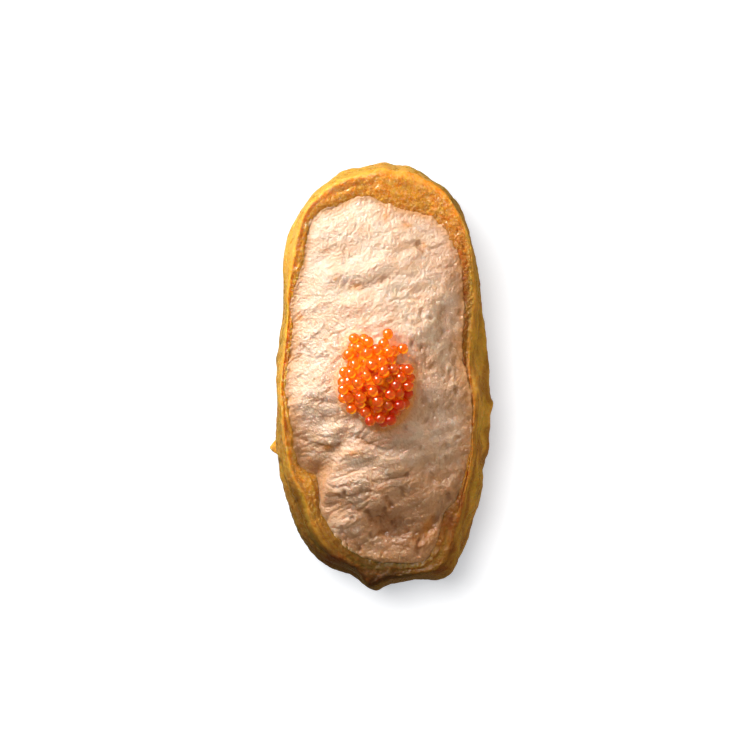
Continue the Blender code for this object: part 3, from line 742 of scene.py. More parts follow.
def flake(x, y, points, rise, back, crack):
    """A flake with a sharp edge along the points: it fades back on their left and ends in a crack."""
    nearest = np.full(np.shape(x), 1e9)
    side = np.zeros(np.shape(x))
    run_share = np.zeros(np.shape(x))
    count = len(points) - 1
    for number in range(count):
        start, end = points[number], points[number + 1]
        run = (end[0] - start[0], end[1] - start[1])
        along = ((x - start[0]) * run[0] + (y - start[1]) * run[1]) / (run[0] ** 2 + run[1] ** 2)
        held = np.clip(along, 0.0, 1.0)
        away = np.hypot(x - start[0] - held * run[0], y - start[1] - held * run[1])
        turn = run[0] * (y - start[1]) - run[1] * (x - start[0])
        closer = away < nearest
        nearest = np.where(closer, away, nearest)
        side = np.where(closer, np.sign(turn), side)
        run_share = np.where(closer, (number + held) / count, run_share)
    ends = smooth_step(run_share / 0.15 + 0.1) * smooth_step((1.0 - run_share) / 0.15 + 0.1)
    signed = nearest * side
    body = rise * np.exp(-np.maximum(signed, 0.0) / back) * smooth_step(signed / 0.25 + 0.5)
    gap = crack * np.exp(-((np.minimum(signed, 0.0) + 0.25) / 0.3) ** 2) * (signed < 0.1)
    return ends * (body - gap)


def pores(x, y, seed, count, low, high, radius, depth):
    """Small open pores scattered over a part of the filling, taller than wide."""
    draw = random.Random(seed)
    total = np.zeros_like(x)
    for _ in range(count):
        at_x = draw.uniform(low[0], high[0])
        at_y = draw.uniform(low[1], high[1])
        wide = draw.uniform(*radius)
        tall = wide * draw.uniform(1.0, 2.2)
        deep = draw.uniform(*depth)
        near = (np.abs(x - at_x) < 3 * wide) & (np.abs(y - at_y) < 3 * tall)
        away = ((x[near] - at_x) / wide) ** 2 + ((y[near] - at_y) / tall) ** 2
        total[near] += deep * np.exp(-away ** 1.5)
    return total


def right_share(x, y):
    """How far a point lies on the filling's right half, where the fibres stand upright."""
    return smooth_step((x - 1.0 + 0.12 * y) / 7.0)


def fibre_layers(x, y, z):
    """Broad fibres, narrow ones and threads of the filling, which lean differently over its parts."""
    right = right_share(x, y)
    low = smooth_step((-y - 4.0) / 8.0)
    parts = {"right": right, "left_low": low * (1.0 - right), "left_high": (1.0 - low) * (1.0 - right)}
    parts["left_flaky"] = parts["left_high"] * (1.0 - np.clip(patches(x, y, CREAMY), 0.0, 1.0))
    bend_x = x + FIBRE_BEND * fine(x, y, z + 50.0, 6.0, 2)
    bend_y = y + FIBRE_BEND * fine(x, y, z + 55.0, 6.0, 2)
    layers = [
        sum(parts[part] * strength * fibres(bend_x, bend_y, z, *form) for part, strength, *form in row)
        for row in FIBRES
    ]
    fan = region(x, y, *FAN)
    strength, *form = FAN_FIBRES
    layers[0] = layers[0] * (1.0 - fan) + strength * fibres(bend_x, bend_y, z, *form) * fan
    calm = 1.0 - CALM_SHARE * np.clip(patches(x, y, CALM), 0.0, 1.0)
    return [calm * layer for layer in layers]


def filling_relief(x, y, z):
    """Relief of the filling's top, its painted shade in hollows, creases and patches, its oil with the roe's
    painted orange shadow, and its wetness, each at every point.
    """
    layers = fibre_layers(x, y, z)
    pebble = fine(x, y, z + 70.0, 0.36, 1)
    relief = sum(depth * layer for depth, layer in zip(FIBRE_DEPTHS, layers))
    relief = relief + CRUMB_DEPTH * (crumbs(x, y, z, 0.9) - 0.5) + SWELL_DEPTH * fine(x, y, z, 3.4, 2)
    relief = relief + PEBBLE_DEPTH * pebble
    clear = smooth_step((roe_reach(x, y) + 0.3) / 1.2)
    holes = clear * sum(pores(x, y, *entry) for entry in PORES)
    cut = grooves(x, y, CREASES, swell=False)
    laid = grooves(x, y, STRANDS, swell=False)
    wobble_x = x + 0.35 * fine(x, y, z + 60.0, 1.3, 2)
    wobble_y = y + 0.35 * fine(x, y, z + 80.0, 1.3, 2)
    edges = sum(flake(wobble_x, wobble_y, *entry) for entry in FLAKES)
    seat = EGG_SEAT * smooth_step(-roe_reach(x, y) / 1.5 + 0.4)
    height = clear * (relief - 0.7 * holes - 0.4 * cut) + 0.45 * laid + 0.4 * edges + seat
    broad, narrow, thread = layers
    # painted shade in the creases between fibres and at the pebbles, stronger on the right half
    between = np.clip(-broad - 0.2, 0.0, 1.0) * 0.12 + np.clip(-narrow - 0.3, 0.0, 1.0) * 0.12
    between = between + np.clip(-thread - 0.1, 0.0, 1.0) * 0.10 + np.clip(pebble, 0.0, 0.4) * 0.12
    between = between * (1.0 + 0.9 * right_share(x, y))
    # painted shade in cuts, cracks and pores
    open_places = cut + np.maximum(-edges, 0.0) + holes
    hollow = np.clip(0.7 * open_places + clear * between + patches(x, y, SHADED), 0.0, 1.0)
    stain = np.exp(-np.maximum(roe_reach(x, y), 0.0) / OIL_REACH)
    # stronger towards the lower right: the roe's painted orange shadow
    stain = stain * (0.55 + 0.45 * smooth_step((x - y + 4.0) / 12.0))
    for spot in OIL_SPOTS:
        stain = np.maximum(stain, OIL_SPOT_SHARE * region(x, y, *spot))
    wet = np.clip(patches(x, y, WET_PLACES), 0.0, 1.0)
    return height, hollow, stain, wet


# ---------------------------------------------------------------- mesh helpers

def deselect():
    bpy.ops.object.select_all(action="DESELECT")


def newest(name):
    """The primitive that was just added, under its own name."""
    piece = bpy.context.object
    piece.name = name
    piece.data.name = name
    return piece


def place(piece, points):
    """Move every vertex to its point in millimetres round the pouch's middle."""
    piece.data.vertices.foreach_set("co", ((points + SHIFT) * MM).astype(np.float32).ravel())
    piece.data.update()


def vertex_values(piece, field, width=3):
    values = np.zeros(len(piece.data.vertices) * width, np.float32)
    piece.data.vertices.foreach_get(field, values)
    return values.reshape(-1, width).astype(float)


def add_mask(piece, name, values):
    """A value at each vertex that the materials read."""
    mask = piece.data.attributes.new(name, "FLOAT", "POINT")
    mask.data.foreach_set("value", values.astype(np.float32))


def finish_piece(piece, material, nodes=()):
    """Smooth shading, finish, and its place in the frame."""
    piece.data.materials.clear()
    piece.data.materials.append(material)
    piece.data.shade_smooth()
    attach(piece, "root")
    if nodes:
        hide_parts(*nodes)
    deselect()


def ball_directions(piece, rings):
    """Direction and ring of each vertex of a ball primitive."""
    sphere = vertex_values(piece, "co")
    ring = np.rint((1.0 - np.arccos(np.clip(sphere[:, 2], -1, 1)) / math.pi) * rings).astype(int)
    stretch = math.sqrt(POUCH_HALF_LENGTH / POUCH_HALF_WIDTH)
    return np.degrees(np.arctan2(stretch * sphere[:, 1], sphere[:, 0])), ring


# ---------------------------------------------------------------- material helpers

def add_node(tree, kind, inputs=None, **settings):
    """A node with its settings, and its inputs linked or set."""
    made = tree.nodes.new(kind)
    for name, value in settings.items():
        setattr(made, name, value)
    for name, value in (inputs or {}).items():
        if isinstance(value, bpy.types.NodeSocket):
            tree.links.new(value, made.inputs[name])
        else:
            made.inputs[name].default_value = value
    return made


def math_node(tree, operation, first, second=0.0):
    return add_node(tree, "ShaderNodeMath", {0: first, 1: second}, operation=operation).outputs[0]


def product(tree, first, *others):
    for other in others:
        first = math_node(tree, "MULTIPLY", first, other)
    return first


def mix_colour(tree, share, first, second):
    made = add_node(tree, "ShaderNodeMix", data_type="RGBA")
    for place_in, value in ((0, share), (6, first), (7, second)):
        if isinstance(value, bpy.types.NodeSocket):
            tree.links.new(value, made.inputs[place_in])
        elif place_in == 0:
            made.inputs[place_in].default_value = value
        else:
            made.inputs[place_in].default_value = (*value[:3], 1.0)
    return made.outputs[2]


def grade(tree, value, low, high, bottom=0.0, top=1.0):
    """Map a range of values smoothly to another."""
    made = add_node(tree, "ShaderNodeMapRange", {0: value, 1: low, 2: high, 3: bottom, 4: top},
                    interpolation_type="SMOOTHSTEP")
    return made.outputs[0]


def mask_value(tree, name):
    return add_node(tree, "ShaderNodeAttribute", attribute_name=name).outputs["Fac"]


def millimetres(tree):
    """Object coordinates in millimetres."""
    where = add_node(tree, "ShaderNodeTexCoord").outputs["Object"]
    return add_node(tree, "ShaderNodeMapping", {"Vector": where, "Scale": (1.0 / MM,) * 3}).outputs[0]


def noise_value(tree, where, size, detail=2.0, roughness=0.5):
    made = add_node(tree, "ShaderNodeTexNoise",
                    {"Vector": where, "Scale": 1.0 / size, "Detail": detail, "Roughness": roughness})
    return made.outputs["Fac"]


def new_material(name):
    old = bpy.data.materials.get(name)
    if old:
        bpy.data.materials.remove(old)
    made = bpy.data.materials.new(name)
    made.use_nodes = True
    tree = made.node_tree
    return made, tree, tree.nodes["Principled BSDF"]


def wet_film_group():
    """Node group: an uneven film of oil and juice. It gives a roughness and a fine height."""
    name = "wet_film"
    if name in bpy.data.node_groups:
        return bpy.data.node_groups[name]
    tree = bpy.data.node_groups.new(name, "ShaderNodeTree")
    for label, kind, value in (("Vector", "NodeSocketVector", None), ("Grain", "NodeSocketFloat", 0.4),
                               ("Patch", "NodeSocketFloat", 2.5), ("Wet", "NodeSocketFloat", 0.15),
                               ("Dry", "NodeSocketFloat", 0.5)):
        socket = tree.interface.new_socket(label, in_out="INPUT", socket_type=kind)
        if value is not None:
            socket.default_value = value
    for label in ("Roughness", "Height"):
        tree.interface.new_socket(label, in_out="OUTPUT", socket_type="NodeSocketFloat")
    given = tree.nodes.new("NodeGroupInput").outputs
    patch_scale = math_node(tree, "DIVIDE", 1.0, given["Patch"])
    patch = add_node(tree, "ShaderNodeTexNoise",
                     {"Vector": given["Vector"], "Scale": patch_scale, "Detail": 3.0, "Roughness": 0.6})
    share = grade(tree, patch.outputs["Fac"], 0.38, 0.62)
    span = math_node(tree, "SUBTRACT", given["Dry"], given["Wet"])
    roughness = math_node(tree, "ADD", given["Wet"], math_node(tree, "MULTIPLY", share, span))
    grain_scale = math_node(tree, "DIVIDE", 1.0, given["Grain"])
    coarse = add_node(tree, "ShaderNodeTexNoise",
                      {"Vector": given["Vector"], "Scale": grain_scale, "Detail": 2.0, "Roughness": 0.55})
    result = tree.nodes.new("NodeGroupOutput")
    tree.links.new(roughness, result.inputs["Roughness"])
    tree.links.new(coarse.outputs["Fac"], result.inputs["Height"])
    return tree


def glaze(tree, shader, where, grain, patch, wet, dry, depth, lift, shine):
    """A grainy surface under a wet film, which glints where its mask says wet."""
    film = add_node(tree, "ShaderNodeGroup", node_tree=wet_film_group())
    tree.links.new(where, film.inputs["Vector"])
    for label, value in (("Grain", grain), ("Patch", patch), ("Wet", wet), ("Dry", dry)):
        film.inputs[label].default_value = value
    mask = mask_value(tree, "wet")
    height = product(tree, film.outputs["Height"], grade(tree, mask, 0.0, 1.0, DRY_GRAIN, lift))
    rough = math_node(tree, "ADD", film.outputs["Roughness"], grade(tree, mask, 0.0, 0.7, DRY_ROUGHNESS, 0.0))
    tree.links.new(rough, shader.inputs["Roughness"])
    relief = add_node(tree, "ShaderNodeBump", {"Height": height, "Strength": 1.0, "Distance": depth})
    tree.links.new(relief.outputs[0], shader.inputs["Normal"])
    shader.inputs["Specular IOR Level"].default_value = shine


def soften(shader, radius, scale, weight=1.0):
    """Light that enters the food and spreads inside it."""
    shader.inputs["Subsurface Weight"].default_value = weight
    shader.inputs["Subsurface Radius"].default_value = radius
    shader.inputs["Subsurface Scale"].default_value = scale


def skin_material(settings):
    """Fried tofu skin soaked in sweet soy stock: yellow outside, amber and spongy inside the rim, with a
    painted sheen on the lit band, painted glints in the wet places, and painted shade in its dull olive and
    brown parts.
    """
    made, tree, shader = new_material("fried_tofu_skin")
    where = millimetres(tree)
    masks = {name: mask_value(tree, name) for name in SKIN_MASKS}
    patch = grade(tree, noise_value(tree, where, 5.0, 4.0, 0.6), 0.38, 0.62)
    mottle = grade(tree, noise_value(tree, where, 1.1, 4.0, 0.65), 0.40, 0.62)
    outer = mix_colour(tree, patch, settings.outer_colour, settings.olive_colour)
    outer = mix_colour(tree, product(tree, mottle, 0.45), outer, settings.rim_colour)
    rim = mix_colour(tree, mottle, settings.rim_colour, settings.amber_colour)
    red = grade(tree, noise_value(tree, where, 2.3, 3.0, 0.6), 0.52, 0.66)
    rim = mix_colour(tree, product(tree, red, 0.2), rim, settings.deep_colour)
    skin = mix_colour(tree, masks["inside"], outer, rim)
    smear = product(tree, masks["smeared"], grade(tree, mottle, 0.2, 0.9, 0.35, 0.9))
    clean = math_node(tree, "SUBTRACT", 1.0, masks["dulled"])
    fleck = noise_value(tree, where, 0.55, 3.0, 0.6)
    light_fleck = product(tree, grade(tree, fleck, 0.50, 0.66), 0.5, clean, masks["inside"])
    dark_share = grade(tree, masks["inside"], 0.0, 1.0, 0.12, 0.25)
    dark_fleck = product(tree, grade(tree, fleck, 0.50, 0.34), dark_share)
    # painted glints: pale dots in the wet places
    painted_glint = grade(tree, noise_value(tree, where, 0.42, 2.0, 0.5), 0.66, 0.74)
    painted_glint = product(tree, painted_glint, grade(tree, masks["wet"], 0.0, 1.0, 0.35, 0.95), clean)
    for share, colour in (
        (masks["pale"], settings.painted_sheen_colour),
        (masks["soaked"], settings.deep_colour),
        (masks["dulled"], settings.dull_and_shade_colour),
        (product(tree, masks["streaks"], 0.7), settings.streak_colour),
        (masks["browned"], settings.brown_and_shade_colour),
        (smear, settings.smear_colour),
        (light_fleck, settings.blister_and_glint_colour),
        (dark_fleck, settings.deep_colour),
        (painted_glint, settings.blister_and_glint_colour),
    ):
        skin = mix_colour(tree, share, skin, colour)
    tree.links.new(skin, shader.inputs["Base Color"])
    glaze(tree, shader, where, *SKIN_FILM)
    tree.links.new(masks["wet"], shader.inputs["Coat Weight"])
    shader.inputs["Coat Roughness"].default_value = 0.07
    soften(shader, (1.0, 0.7, 0.35), 0.0011)
    return made


def filling_material(settings):
    """Pale creamy flakes with painted shade in their hollows and towards the low end, an edge lying thinly
    over the skin, oil stains with the roe's painted orange shadow, and a wet sparkle.
    """
    made, tree, shader = new_material("creamy_flakes")
    where = millimetres(tree)
    fringe = mask_value(tree, "fringe")
    warm = grade(tree, noise_value(tree, where, 3.0, 3.0, 0.55), 0.35, 0.65)
    flakes = mix_colour(tree, warm, settings.cream_colour, settings.peach_colour)
    for share, colour in (
        # the edge lying thinly over the skin, and painted shade towards the lower right end
        (product(tree, mask_value(tree, "thin"), 0.8), settings.thin_and_shade_colour),
        # painted shade in hollows, creases and patches
        (mask_value(tree, "hollow"), settings.painted_shade_colour),
        (fringe, settings.fringe_colour),
        # oil, and the roe's painted orange shadow
        (product(tree, mask_value(tree, "stain"), 0.75), settings.oil_and_roe_shadow_colour),
    ):
        flakes = mix_colour(tree, share, flakes, colour)
    tree.links.new(flakes, shader.inputs["Base Color"])
    glaze(tree, shader, where, *FILLING_FILM)
    soften(shader, (1.0, 0.8, 0.6), 0.0006)
    tree.links.new(grade(tree, fringe, 0.0, 0.6, 1.0, 0.4), shader.inputs["Subsurface Weight"])
    return made


def roe_material(settings):
    """Clear orange roe: its colour changes at random from egg to egg, with painted shade towards the lower
    right of the mound, painted light gathered on each egg's far side, and a faint painted glow in every egg.
    """
    made, tree, shader = new_material("roe_skin")
    tone = mask_value(tree, "tone")
    glow = mask_value(tree, "glow")
    colour = mix_colour(tree, tone, settings.light_colour, settings.deep_colour)
    edge = add_node(tree, "ShaderNodeLayerWeight", {"Blend": 0.5}).outputs["Facing"]
    colour = mix_colour(tree, grade(tree, edge, 0.35, 0.90, 0.0, 0.85), colour, settings.edge_colour)
    colour = mix_colour(tree, glow, colour, settings.glow_colour)
    tree.links.new(colour, shader.inputs["Base Color"])
    shader.inputs["Roughness"].default_value = 0.05
    shader.inputs["IOR"].default_value = 1.38
    shader.inputs["Coat Weight"].default_value = 1.0
    shader.inputs["Coat Roughness"].default_value = 0.04
    shader.inputs["Coat IOR"].default_value = 1.7
    shader.inputs["Transmission Weight"].default_value = 0.5
    soften(shader, (1.0, 0.28, 0.06), 0.0012)
    # painted glow: every egg glows faintly in its own colour, brightest in its crescent
    inner = mix_colour(tree, 0.74, colour, (0.0, 0.0, 0.0))
    inner = mix_colour(tree, glow, inner, settings.glow_colour)
    tree.links.new(inner, shader.inputs["Emission Color"])
    shader.inputs["Emission Strength"].default_value = 0.6
    return made


def juice_material(settings):
    """The roe's own juice under the eggs."""
    made, tree, shader = new_material("roe_juice")
    where = millimetres(tree)
    cloud = grade(tree, noise_value(tree, where, 1.4, 2.0, 0.5), 0.35, 0.65)
    colour = mix_colour(tree, cloud, settings.light_colour, settings.deep_colour)
    tree.links.new(colour, shader.inputs["Base Color"])
    shader.inputs["Roughness"].default_value = 0.6
    shader.inputs["Specular IOR Level"].default_value = 0.1
    soften(shader, (1.0, 0.25, 0.05), 0.0015, weight=0.5)
    return made


def floor_material(settings):
    """A plain pale floor that sends little light back up."""
    made, tree, shader = new_material("pale_floor")
    tree.nodes.remove(shader)
    seen = add_node(tree, "ShaderNodeLightPath").outputs["Is Camera Ray"]
    pale = add_node(tree, "ShaderNodeBsdfDiffuse", {"Color": (*settings.floor_colour, 1.0)})
    bright = add_node(tree, "ShaderNodeEmission", {"Color": FLOOR_TINT, "Strength": settings.floor_glow})
    lit = add_node(tree, "ShaderNodeAddShader", {0: pale.outputs[0], 1: bright.outputs[0]})
    dim = add_node(tree, "ShaderNodeBsdfDiffuse", {"Color": (*settings.bounce_colour, 1.0)})
    both = add_node(tree, "ShaderNodeMixShader", {0: seen, 1: dim.outputs[0], 2: lit.outputs[0]})
    tree.links.new(both.outputs[0], tree.nodes["Material Output"].inputs["Surface"])
    return made


# ---------------------------------------------------------------- settings

def colour_property(name, description, default):
    return FloatVectorProperty(name=name, description=description, default=default, subtype="COLOR",
                               size=3, min=0.0, max=1.0)


def power_property(name, description, default):
    return FloatProperty(name=name, description=description, default=default,
                         min=0.0, max=1000.0, unit="POWER")


def depth_property(name, description, default):
    return FloatProperty(name=name, description=description, default=default,
                         min=0.0, max=0.001, unit="LENGTH")


class PouchSettings(PropertyGroup):
    """Colours and relief of the fried tofu pouch."""

    outer_colour: colour_property("Outer skin", "Bright yellow of the fried skin", linear(226, 174, 84))
    olive_colour: colour_property("Olive skin", "Duller patches of the fried skin", linear(206, 166, 66))
    # colour of the painted sheen
    painted_sheen_colour: colour_property("Pale skin", "Smooth band where the light falls", linear(234, 180, 86))
    rim_colour: colour_property("Rim", "Ochre of the folded rim", linear(250, 190, 78))
    amber_colour: colour_property("Amber", "Soaked patches of the rim", linear(246, 160, 38))
    deep_colour: colour_property("Deep amber", "Darkest soaked places", linear(208, 112, 28))
    # dull olive, partly painted shade
    dull_and_shade_colour: colour_property("Dull olive", "Low end and dark parts of the rim", linear(106, 84, 26))
    # brown of the low end's tip, partly painted shade
    brown_and_shade_colour: colour_property("Brown", "Tip of the low end, darkest with stock", linear(76, 44, 16))
    streak_colour: colour_property("Streaks", "Red-brown streaks along the wall", linear(132, 60, 24))
    smear_colour: colour_property("Smears", "Thin smears of filling on the rim", linear(222, 164, 96))
    # tiny pale blisters, and painted glints in the wet places
    blister_and_glint_colour: colour_property("Specks", "Tiny pale blisters", linear(248, 208, 140))
    blister: depth_property("Blisters", "Height of the blisters on the wall", 0.0001)
    sponge: depth_property("Sponge", "Relief of the spongy rim", 0.00018)


class FillingSettings(PropertyGroup):
    """Colours and relief of the creamy filling."""

    cream_colour: colour_property("Cream", "Palest flakes", linear(244, 222, 202))
    peach_colour: colour_property("Peach", "Warmer flakes", linear(238, 206, 178))
    # colour of the painted shade in cracks, pores, creases and darker patches
    painted_shade_colour: colour_property("Hollows", "Cracks and pores", linear(190, 136, 90))
    # colour of the edge lying thinly over the skin, and of the low end's painted shade
    thin_and_shade_colour: colour_property("Thin edge", "Where it thins out over the skin", linear(214, 160, 108))
    fringe_colour: colour_property("Fringe", "The very edge, soaked with stock", linear(230, 164, 98))
    # oil stains, with the roe's painted orange shadow
    oil_and_roe_shadow_colour: colour_property("Oil", "Stains of oil and roe juice", linear(236, 160, 60))
    relief: FloatProperty(name="Relief", description="Strength of the flaked relief",
                          default=1.0, min=0.0, max=2.0, subtype="FACTOR")


class RoeSettings(PropertyGroup):
    """Colours and smoothness of the roe."""

    # lit and shaded colours of the eggs: painted light and painted shade; the juice mixes them at random
    light_colour: colour_property("Light egg", "Eggs that face the light", linear(254, 150, 18))
    deep_colour: colour_property("Deep egg", "Eggs low on the shaded side", linear(200, 44, 12))
    edge_colour: colour_property("Edge", "Thick rim of an egg", linear(176, 36, 8))
    # painted light
    glow_colour: colour_property("Glow", "Light gathered in an egg's far side", linear(255, 204, 40))
    egg_steps: IntProperty(name="Egg smoothness", description="Subdivisions of one egg",
                           default=4, min=2, max=4)


class StageSettings(PropertyGroup):
    """Floor and light."""

    floor_colour: colour_property("Floor", "Colour of the floor", (0.80, 0.80, 0.80))
    bounce_colour: colour_property("Bounce", "Light that the floor sends back", (0.17, 0.13, 0.08))
    floor_glow: FloatProperty(name="Floor light", description="Evenness of the floor",
                              default=0.50, min=0.0, max=2.0)
    key_power: power_property("Key", "Power of the soft key light", 1.0)
    fill_power: power_property("Fill", "Power of the overhead fill", 0.35)
    card_power: power_property("Card", "Power of the light sent back from the right", 1.1)
    world_strength: FloatProperty(name="Room", description="Strength of the room's light",
                                  default=0.16, min=0.0, max=10.0)


# ---------------------------------------------------------------- pieces

def pouch_knots():
    """Where the rings of the pouch lie on its section, closest together on the rim."""
    spans = ((0.0, 2.0, 4), (2.0, 5.0, 28), (5.0, 7.0, 24), (7.0, 8.0, 18), (8.0, 10.4, 46),
             (10.4, 12.0, 12), (12.0, 17.0, 10))
    knots = [np.linspace(start, end, count, endpoint=False) for start, end, count in spans]
    return np.append(np.concatenate(knots), 17.0)


def rim_steps(direction, knot):
    """The folded edge: a second ridge inside the crest and the drop to the filling."""
    strength = RIDGE_STRENGTH + bumps(direction, RIDGE_BUMPS)
    ridge = np.exp(-((knot - 9.25) / 0.22) ** 2)
    drop = np.exp(-((knot - 9.7) / 0.2) ** 2)
    return strength * (0.17 * ridge - 0.05 * drop)


def skin_masks(direction, knot, points, rim, sponge):
    """Where the skin is amber, soaked, brown at the tip and dull olive (both partly painted shade), smeared,
    streaked, pale with a painted sheen, and wet.
    """
    x, y, z = points.T
    outward = bumps(direction, OUTWARD)
    inside = past(knot + outward, 7.75, 0.6 + 0.6 * np.abs(outward))
    soaked = past(knot, 9.3, 0.6) * (0.45 + 0.5 * fine(x, y, z + 18.0, 3.0, 2))
    # painted light: less deep amber where the ridge and the pocket lie in shade
    soaked = soaked * (1.0 - bumps(direction, SOAKED_LESS_PAINTED_LIGHT))
    soaked = soaked + rim * np.clip(-0.6 * sponge - 0.2, 0.0, 0.2) + inside * bumps(direction, SOAKED)
    spread = 0.3 * sponge
    # the tip of the low end: the darker skin with stock, and painted shade
    browned = bumps(direction, BROWN_AND_SHADE) * np.exp(-((knot + spread - 8.1) / 0.7) ** 2)
    # dull olive at the low end and inside the right rim, partly painted shade; on the outside of the walls
    # that face the light it is painted shade alone
    dulled = bumps(direction, DULL_AND_SHADE) * (1.0 - 0.3 * before(knot, 7.7, 0.8))
    dulled = dulled + bumps(direction, DULLED_INSIDE) * past(knot + spread, 8.3, 0.7)
    dulled = dulled + bumps(direction, PAINTED_SHADE_OUTSIDE) * before(knot - spread, 8.1, 0.8)
    smeared = past(knot, 9.45, 0.45) * (0.5 + 1.6 * fine(x, y, z + 15.0, 2.0, 3))
    smeared = np.minimum(smeared * np.clip(1.0 - bumps(direction, SMEAR_FREE), 0.0, 1.0), 0.8)
    along = np.radians(direction) * WALL_RADIUS
    bands = fine(along / 7.0, 2.4 * knot, 0.0 * knot + 2.0, 1.0, 3)
    streaks = np.clip(0.4 + 2.2 * bands, 0.0, 1.0) * np.clip(bumps(direction, STREAKED), 0.0, 1.0)
    streaks = streaks * before(knot, 9.9, 0.5)
    for spot in RED_SPOTS:
        streaks = np.maximum(streaks, 1.4 * region(x, y, *spot) * (0.8 + sponge))
    inside = inside * (1.0 - bumps(direction, INSIDE_LESS))
    # painted sheen on the lit outer band at the upper left
    pale = bumps(direction, PAINTED_SHEEN) * (before(knot, 8.15, 0.4) + 0.4 * before(knot, 9.0, 0.4))
    wet = np.clip(bumps(direction, WET), 0.0, 1.0) * past(knot, 8.1, 0.5)
    return inside, soaked, browned, dulled, smeared, streaks, pale, wet


def make_pouch(settings):
    """The fried tofu pouch, from a ball drawn out along the solid's own sections."""
    knots = pouch_knots()
    deselect()
    bpy.ops.mesh.primitive_uv_sphere_add(segments=POUCH_COLUMNS, ring_count=len(knots) - 1, radius=1.0)
    piece = newest("fried_tofu_pouch")
    direction, ring = ball_directions(piece, len(knots) - 1)
    knot = knots[ring]
    points = pouch_shape(direction, knot)
    place(piece, points)
    normals = vertex_values(piece, "normal")
    x, y, z = points.T
    wall = past(knot, 2.2, 1.0) * before(knot, 8.1, 0.6) * (1.0 - bumps(direction, WALL_CALM))
    rim = past(knot, 7.7, 0.5) * before(knot, 11.2, 0.8)
    wrinkle = fibres(np.radians(direction) * WALL_RADIUS, z, 0.0 * z, 4, 1.1, 7.0, 2.5)
    blisters = settings.blister / MM * (crumbs(x, y, z, 1.7) - 0.5)
    relief = wall * (blisters + WALL_UNEVENNESS * fine(x, y, z, 2.4, 3) + WALL_WRINKLE * wrinkle)
    sponge = fine(x, y, z, 1.5, 3)
    cells = CELL_DEPTH + WET_CELL_DEPTH * np.clip(bumps(direction, WET), 0.0, 1.0)
    cells = cells * (crumbs(x, y, z, 0.95) - 0.5) + RIM_GRIT * fine(x, y, z + 12.0, 0.45, 1)
    relief = relief + rim * (settings.sponge / MM * sponge + cells + rim_steps(direction, knot))
    dressed = points + relief[:, None] * normals
    dressed[:, 2] = np.maximum(dressed[:, 2], 0.0)
    place(piece, dressed)
    for name, values in zip(SKIN_MASKS, skin_masks(direction, knot, points, rim, sponge)):
        add_mask(piece, name, np.clip(values, 0.0, 1.0))
    return piece


def make_flap():
    """The torn flap of skin hanging out of the pouch's side."""
    deselect()
    bpy.ops.mesh.primitive_uv_sphere_add(segments=48, ring_count=24, radius=1.0)
    piece = newest("torn_flap")
    out, side, up = vertex_values(piece, "co").T
    turn = math.radians(FLAP_TURN)
    taper = 1.0 - 0.55 * smooth_step((out + 0.2) / 1.2)
    reach = 2.0 * out - 1.9
    across = 2.1 * side * taper - 0.7 * out
    thick = 0.75 * np.sign(up) * np.abs(up) ** 0.7 * (1.0 - 0.3 * smooth_step(out))
    x = FLAP_TIP[0] + reach * math.cos(turn) - across * math.sin(turn)
    y = FLAP_TIP[1] + reach * math.sin(turn) + across * math.cos(turn)
    z = FLAP_TIP[2] + thick - 0.25 * reach
    wave = 0.16 * fine(x, y, z, 1.2, 2)
    place(piece, np.stack([x + wave, y, z + wave], axis=-1))
    for name in SKIN_MASKS:
        add_mask(piece, name, np.full(len(x), 0.5 if name == "inside" else 0.0))
    return piece


def make_filling(settings):
    """The creamy filling: a fine grid over the heap, extruded down its sides and closed below."""
    deselect()
    bpy.ops.mesh.primitive_grid_add(x_subdivisions=HEAP_ACROSS, y_subdivisions=HEAP_ALONG, size=2.0)
    piece = newest("creamy_filling")
    across, along, _ = vertex_values(piece, "co").T
    disc_x = across * np.sqrt(1.0 - 0.5 * along ** 2)
    disc_y = along * np.sqrt(1.0 - 0.5 * across ** 2)
    share = np.hypot(disc_x, disc_y)
    direction = np.degrees(np.arctan2(disc_y * FILLING_HALF_LENGTH, disc_x * FILLING_HALF_WIDTH))
    radius = filling_radius(direction)
    angle = np.radians(direction)
    heap = heap_height(share * radius * np.cos(angle), share * radius * np.sin(angle))
    reach = share * radius + spill(direction) * past(share, 0.90, 0.10)
    roll = np.sqrt(1.0 - np.clip((share - 0.93) / 0.07, 0.0, 1.0) ** 2)
    edge = rim_surface(direction, reach) + EDGE_THICKNESS * roll - EDGE_SINK
    z = np.where(share > 0.8, 0.5 * (heap + edge + np.hypot(heap - edge, 0.25)), heap)
    x, y = reach * np.cos(angle), reach * np.sin(angle)
    points = np.stack([x, y, z], axis=-1)
    place(piece, points)
    normals = vertex_values(piece, "normal")
    relief, hollow, stain, wet = filling_relief(x, y, z)
    fade = smooth_step((1.0 - share) / 0.012)
    place(piece, points + (settings.relief * relief * (0.25 + 0.75 * fade))[:, None] * normals)
    sink_filling_sides(piece, direction)
    thin, fringe = edge_masks(direction, (1.0 - share) * radius, x, y, z)
    masks = {"hollow": hollow, "stain": stain, "thin": thin, "fringe": fringe, "wet": wet}
    sides = np.zeros(len(piece.data.vertices) - len(x))
    for name, values in masks.items():
        add_mask(piece, name, np.concatenate([values, sides]))
    return piece


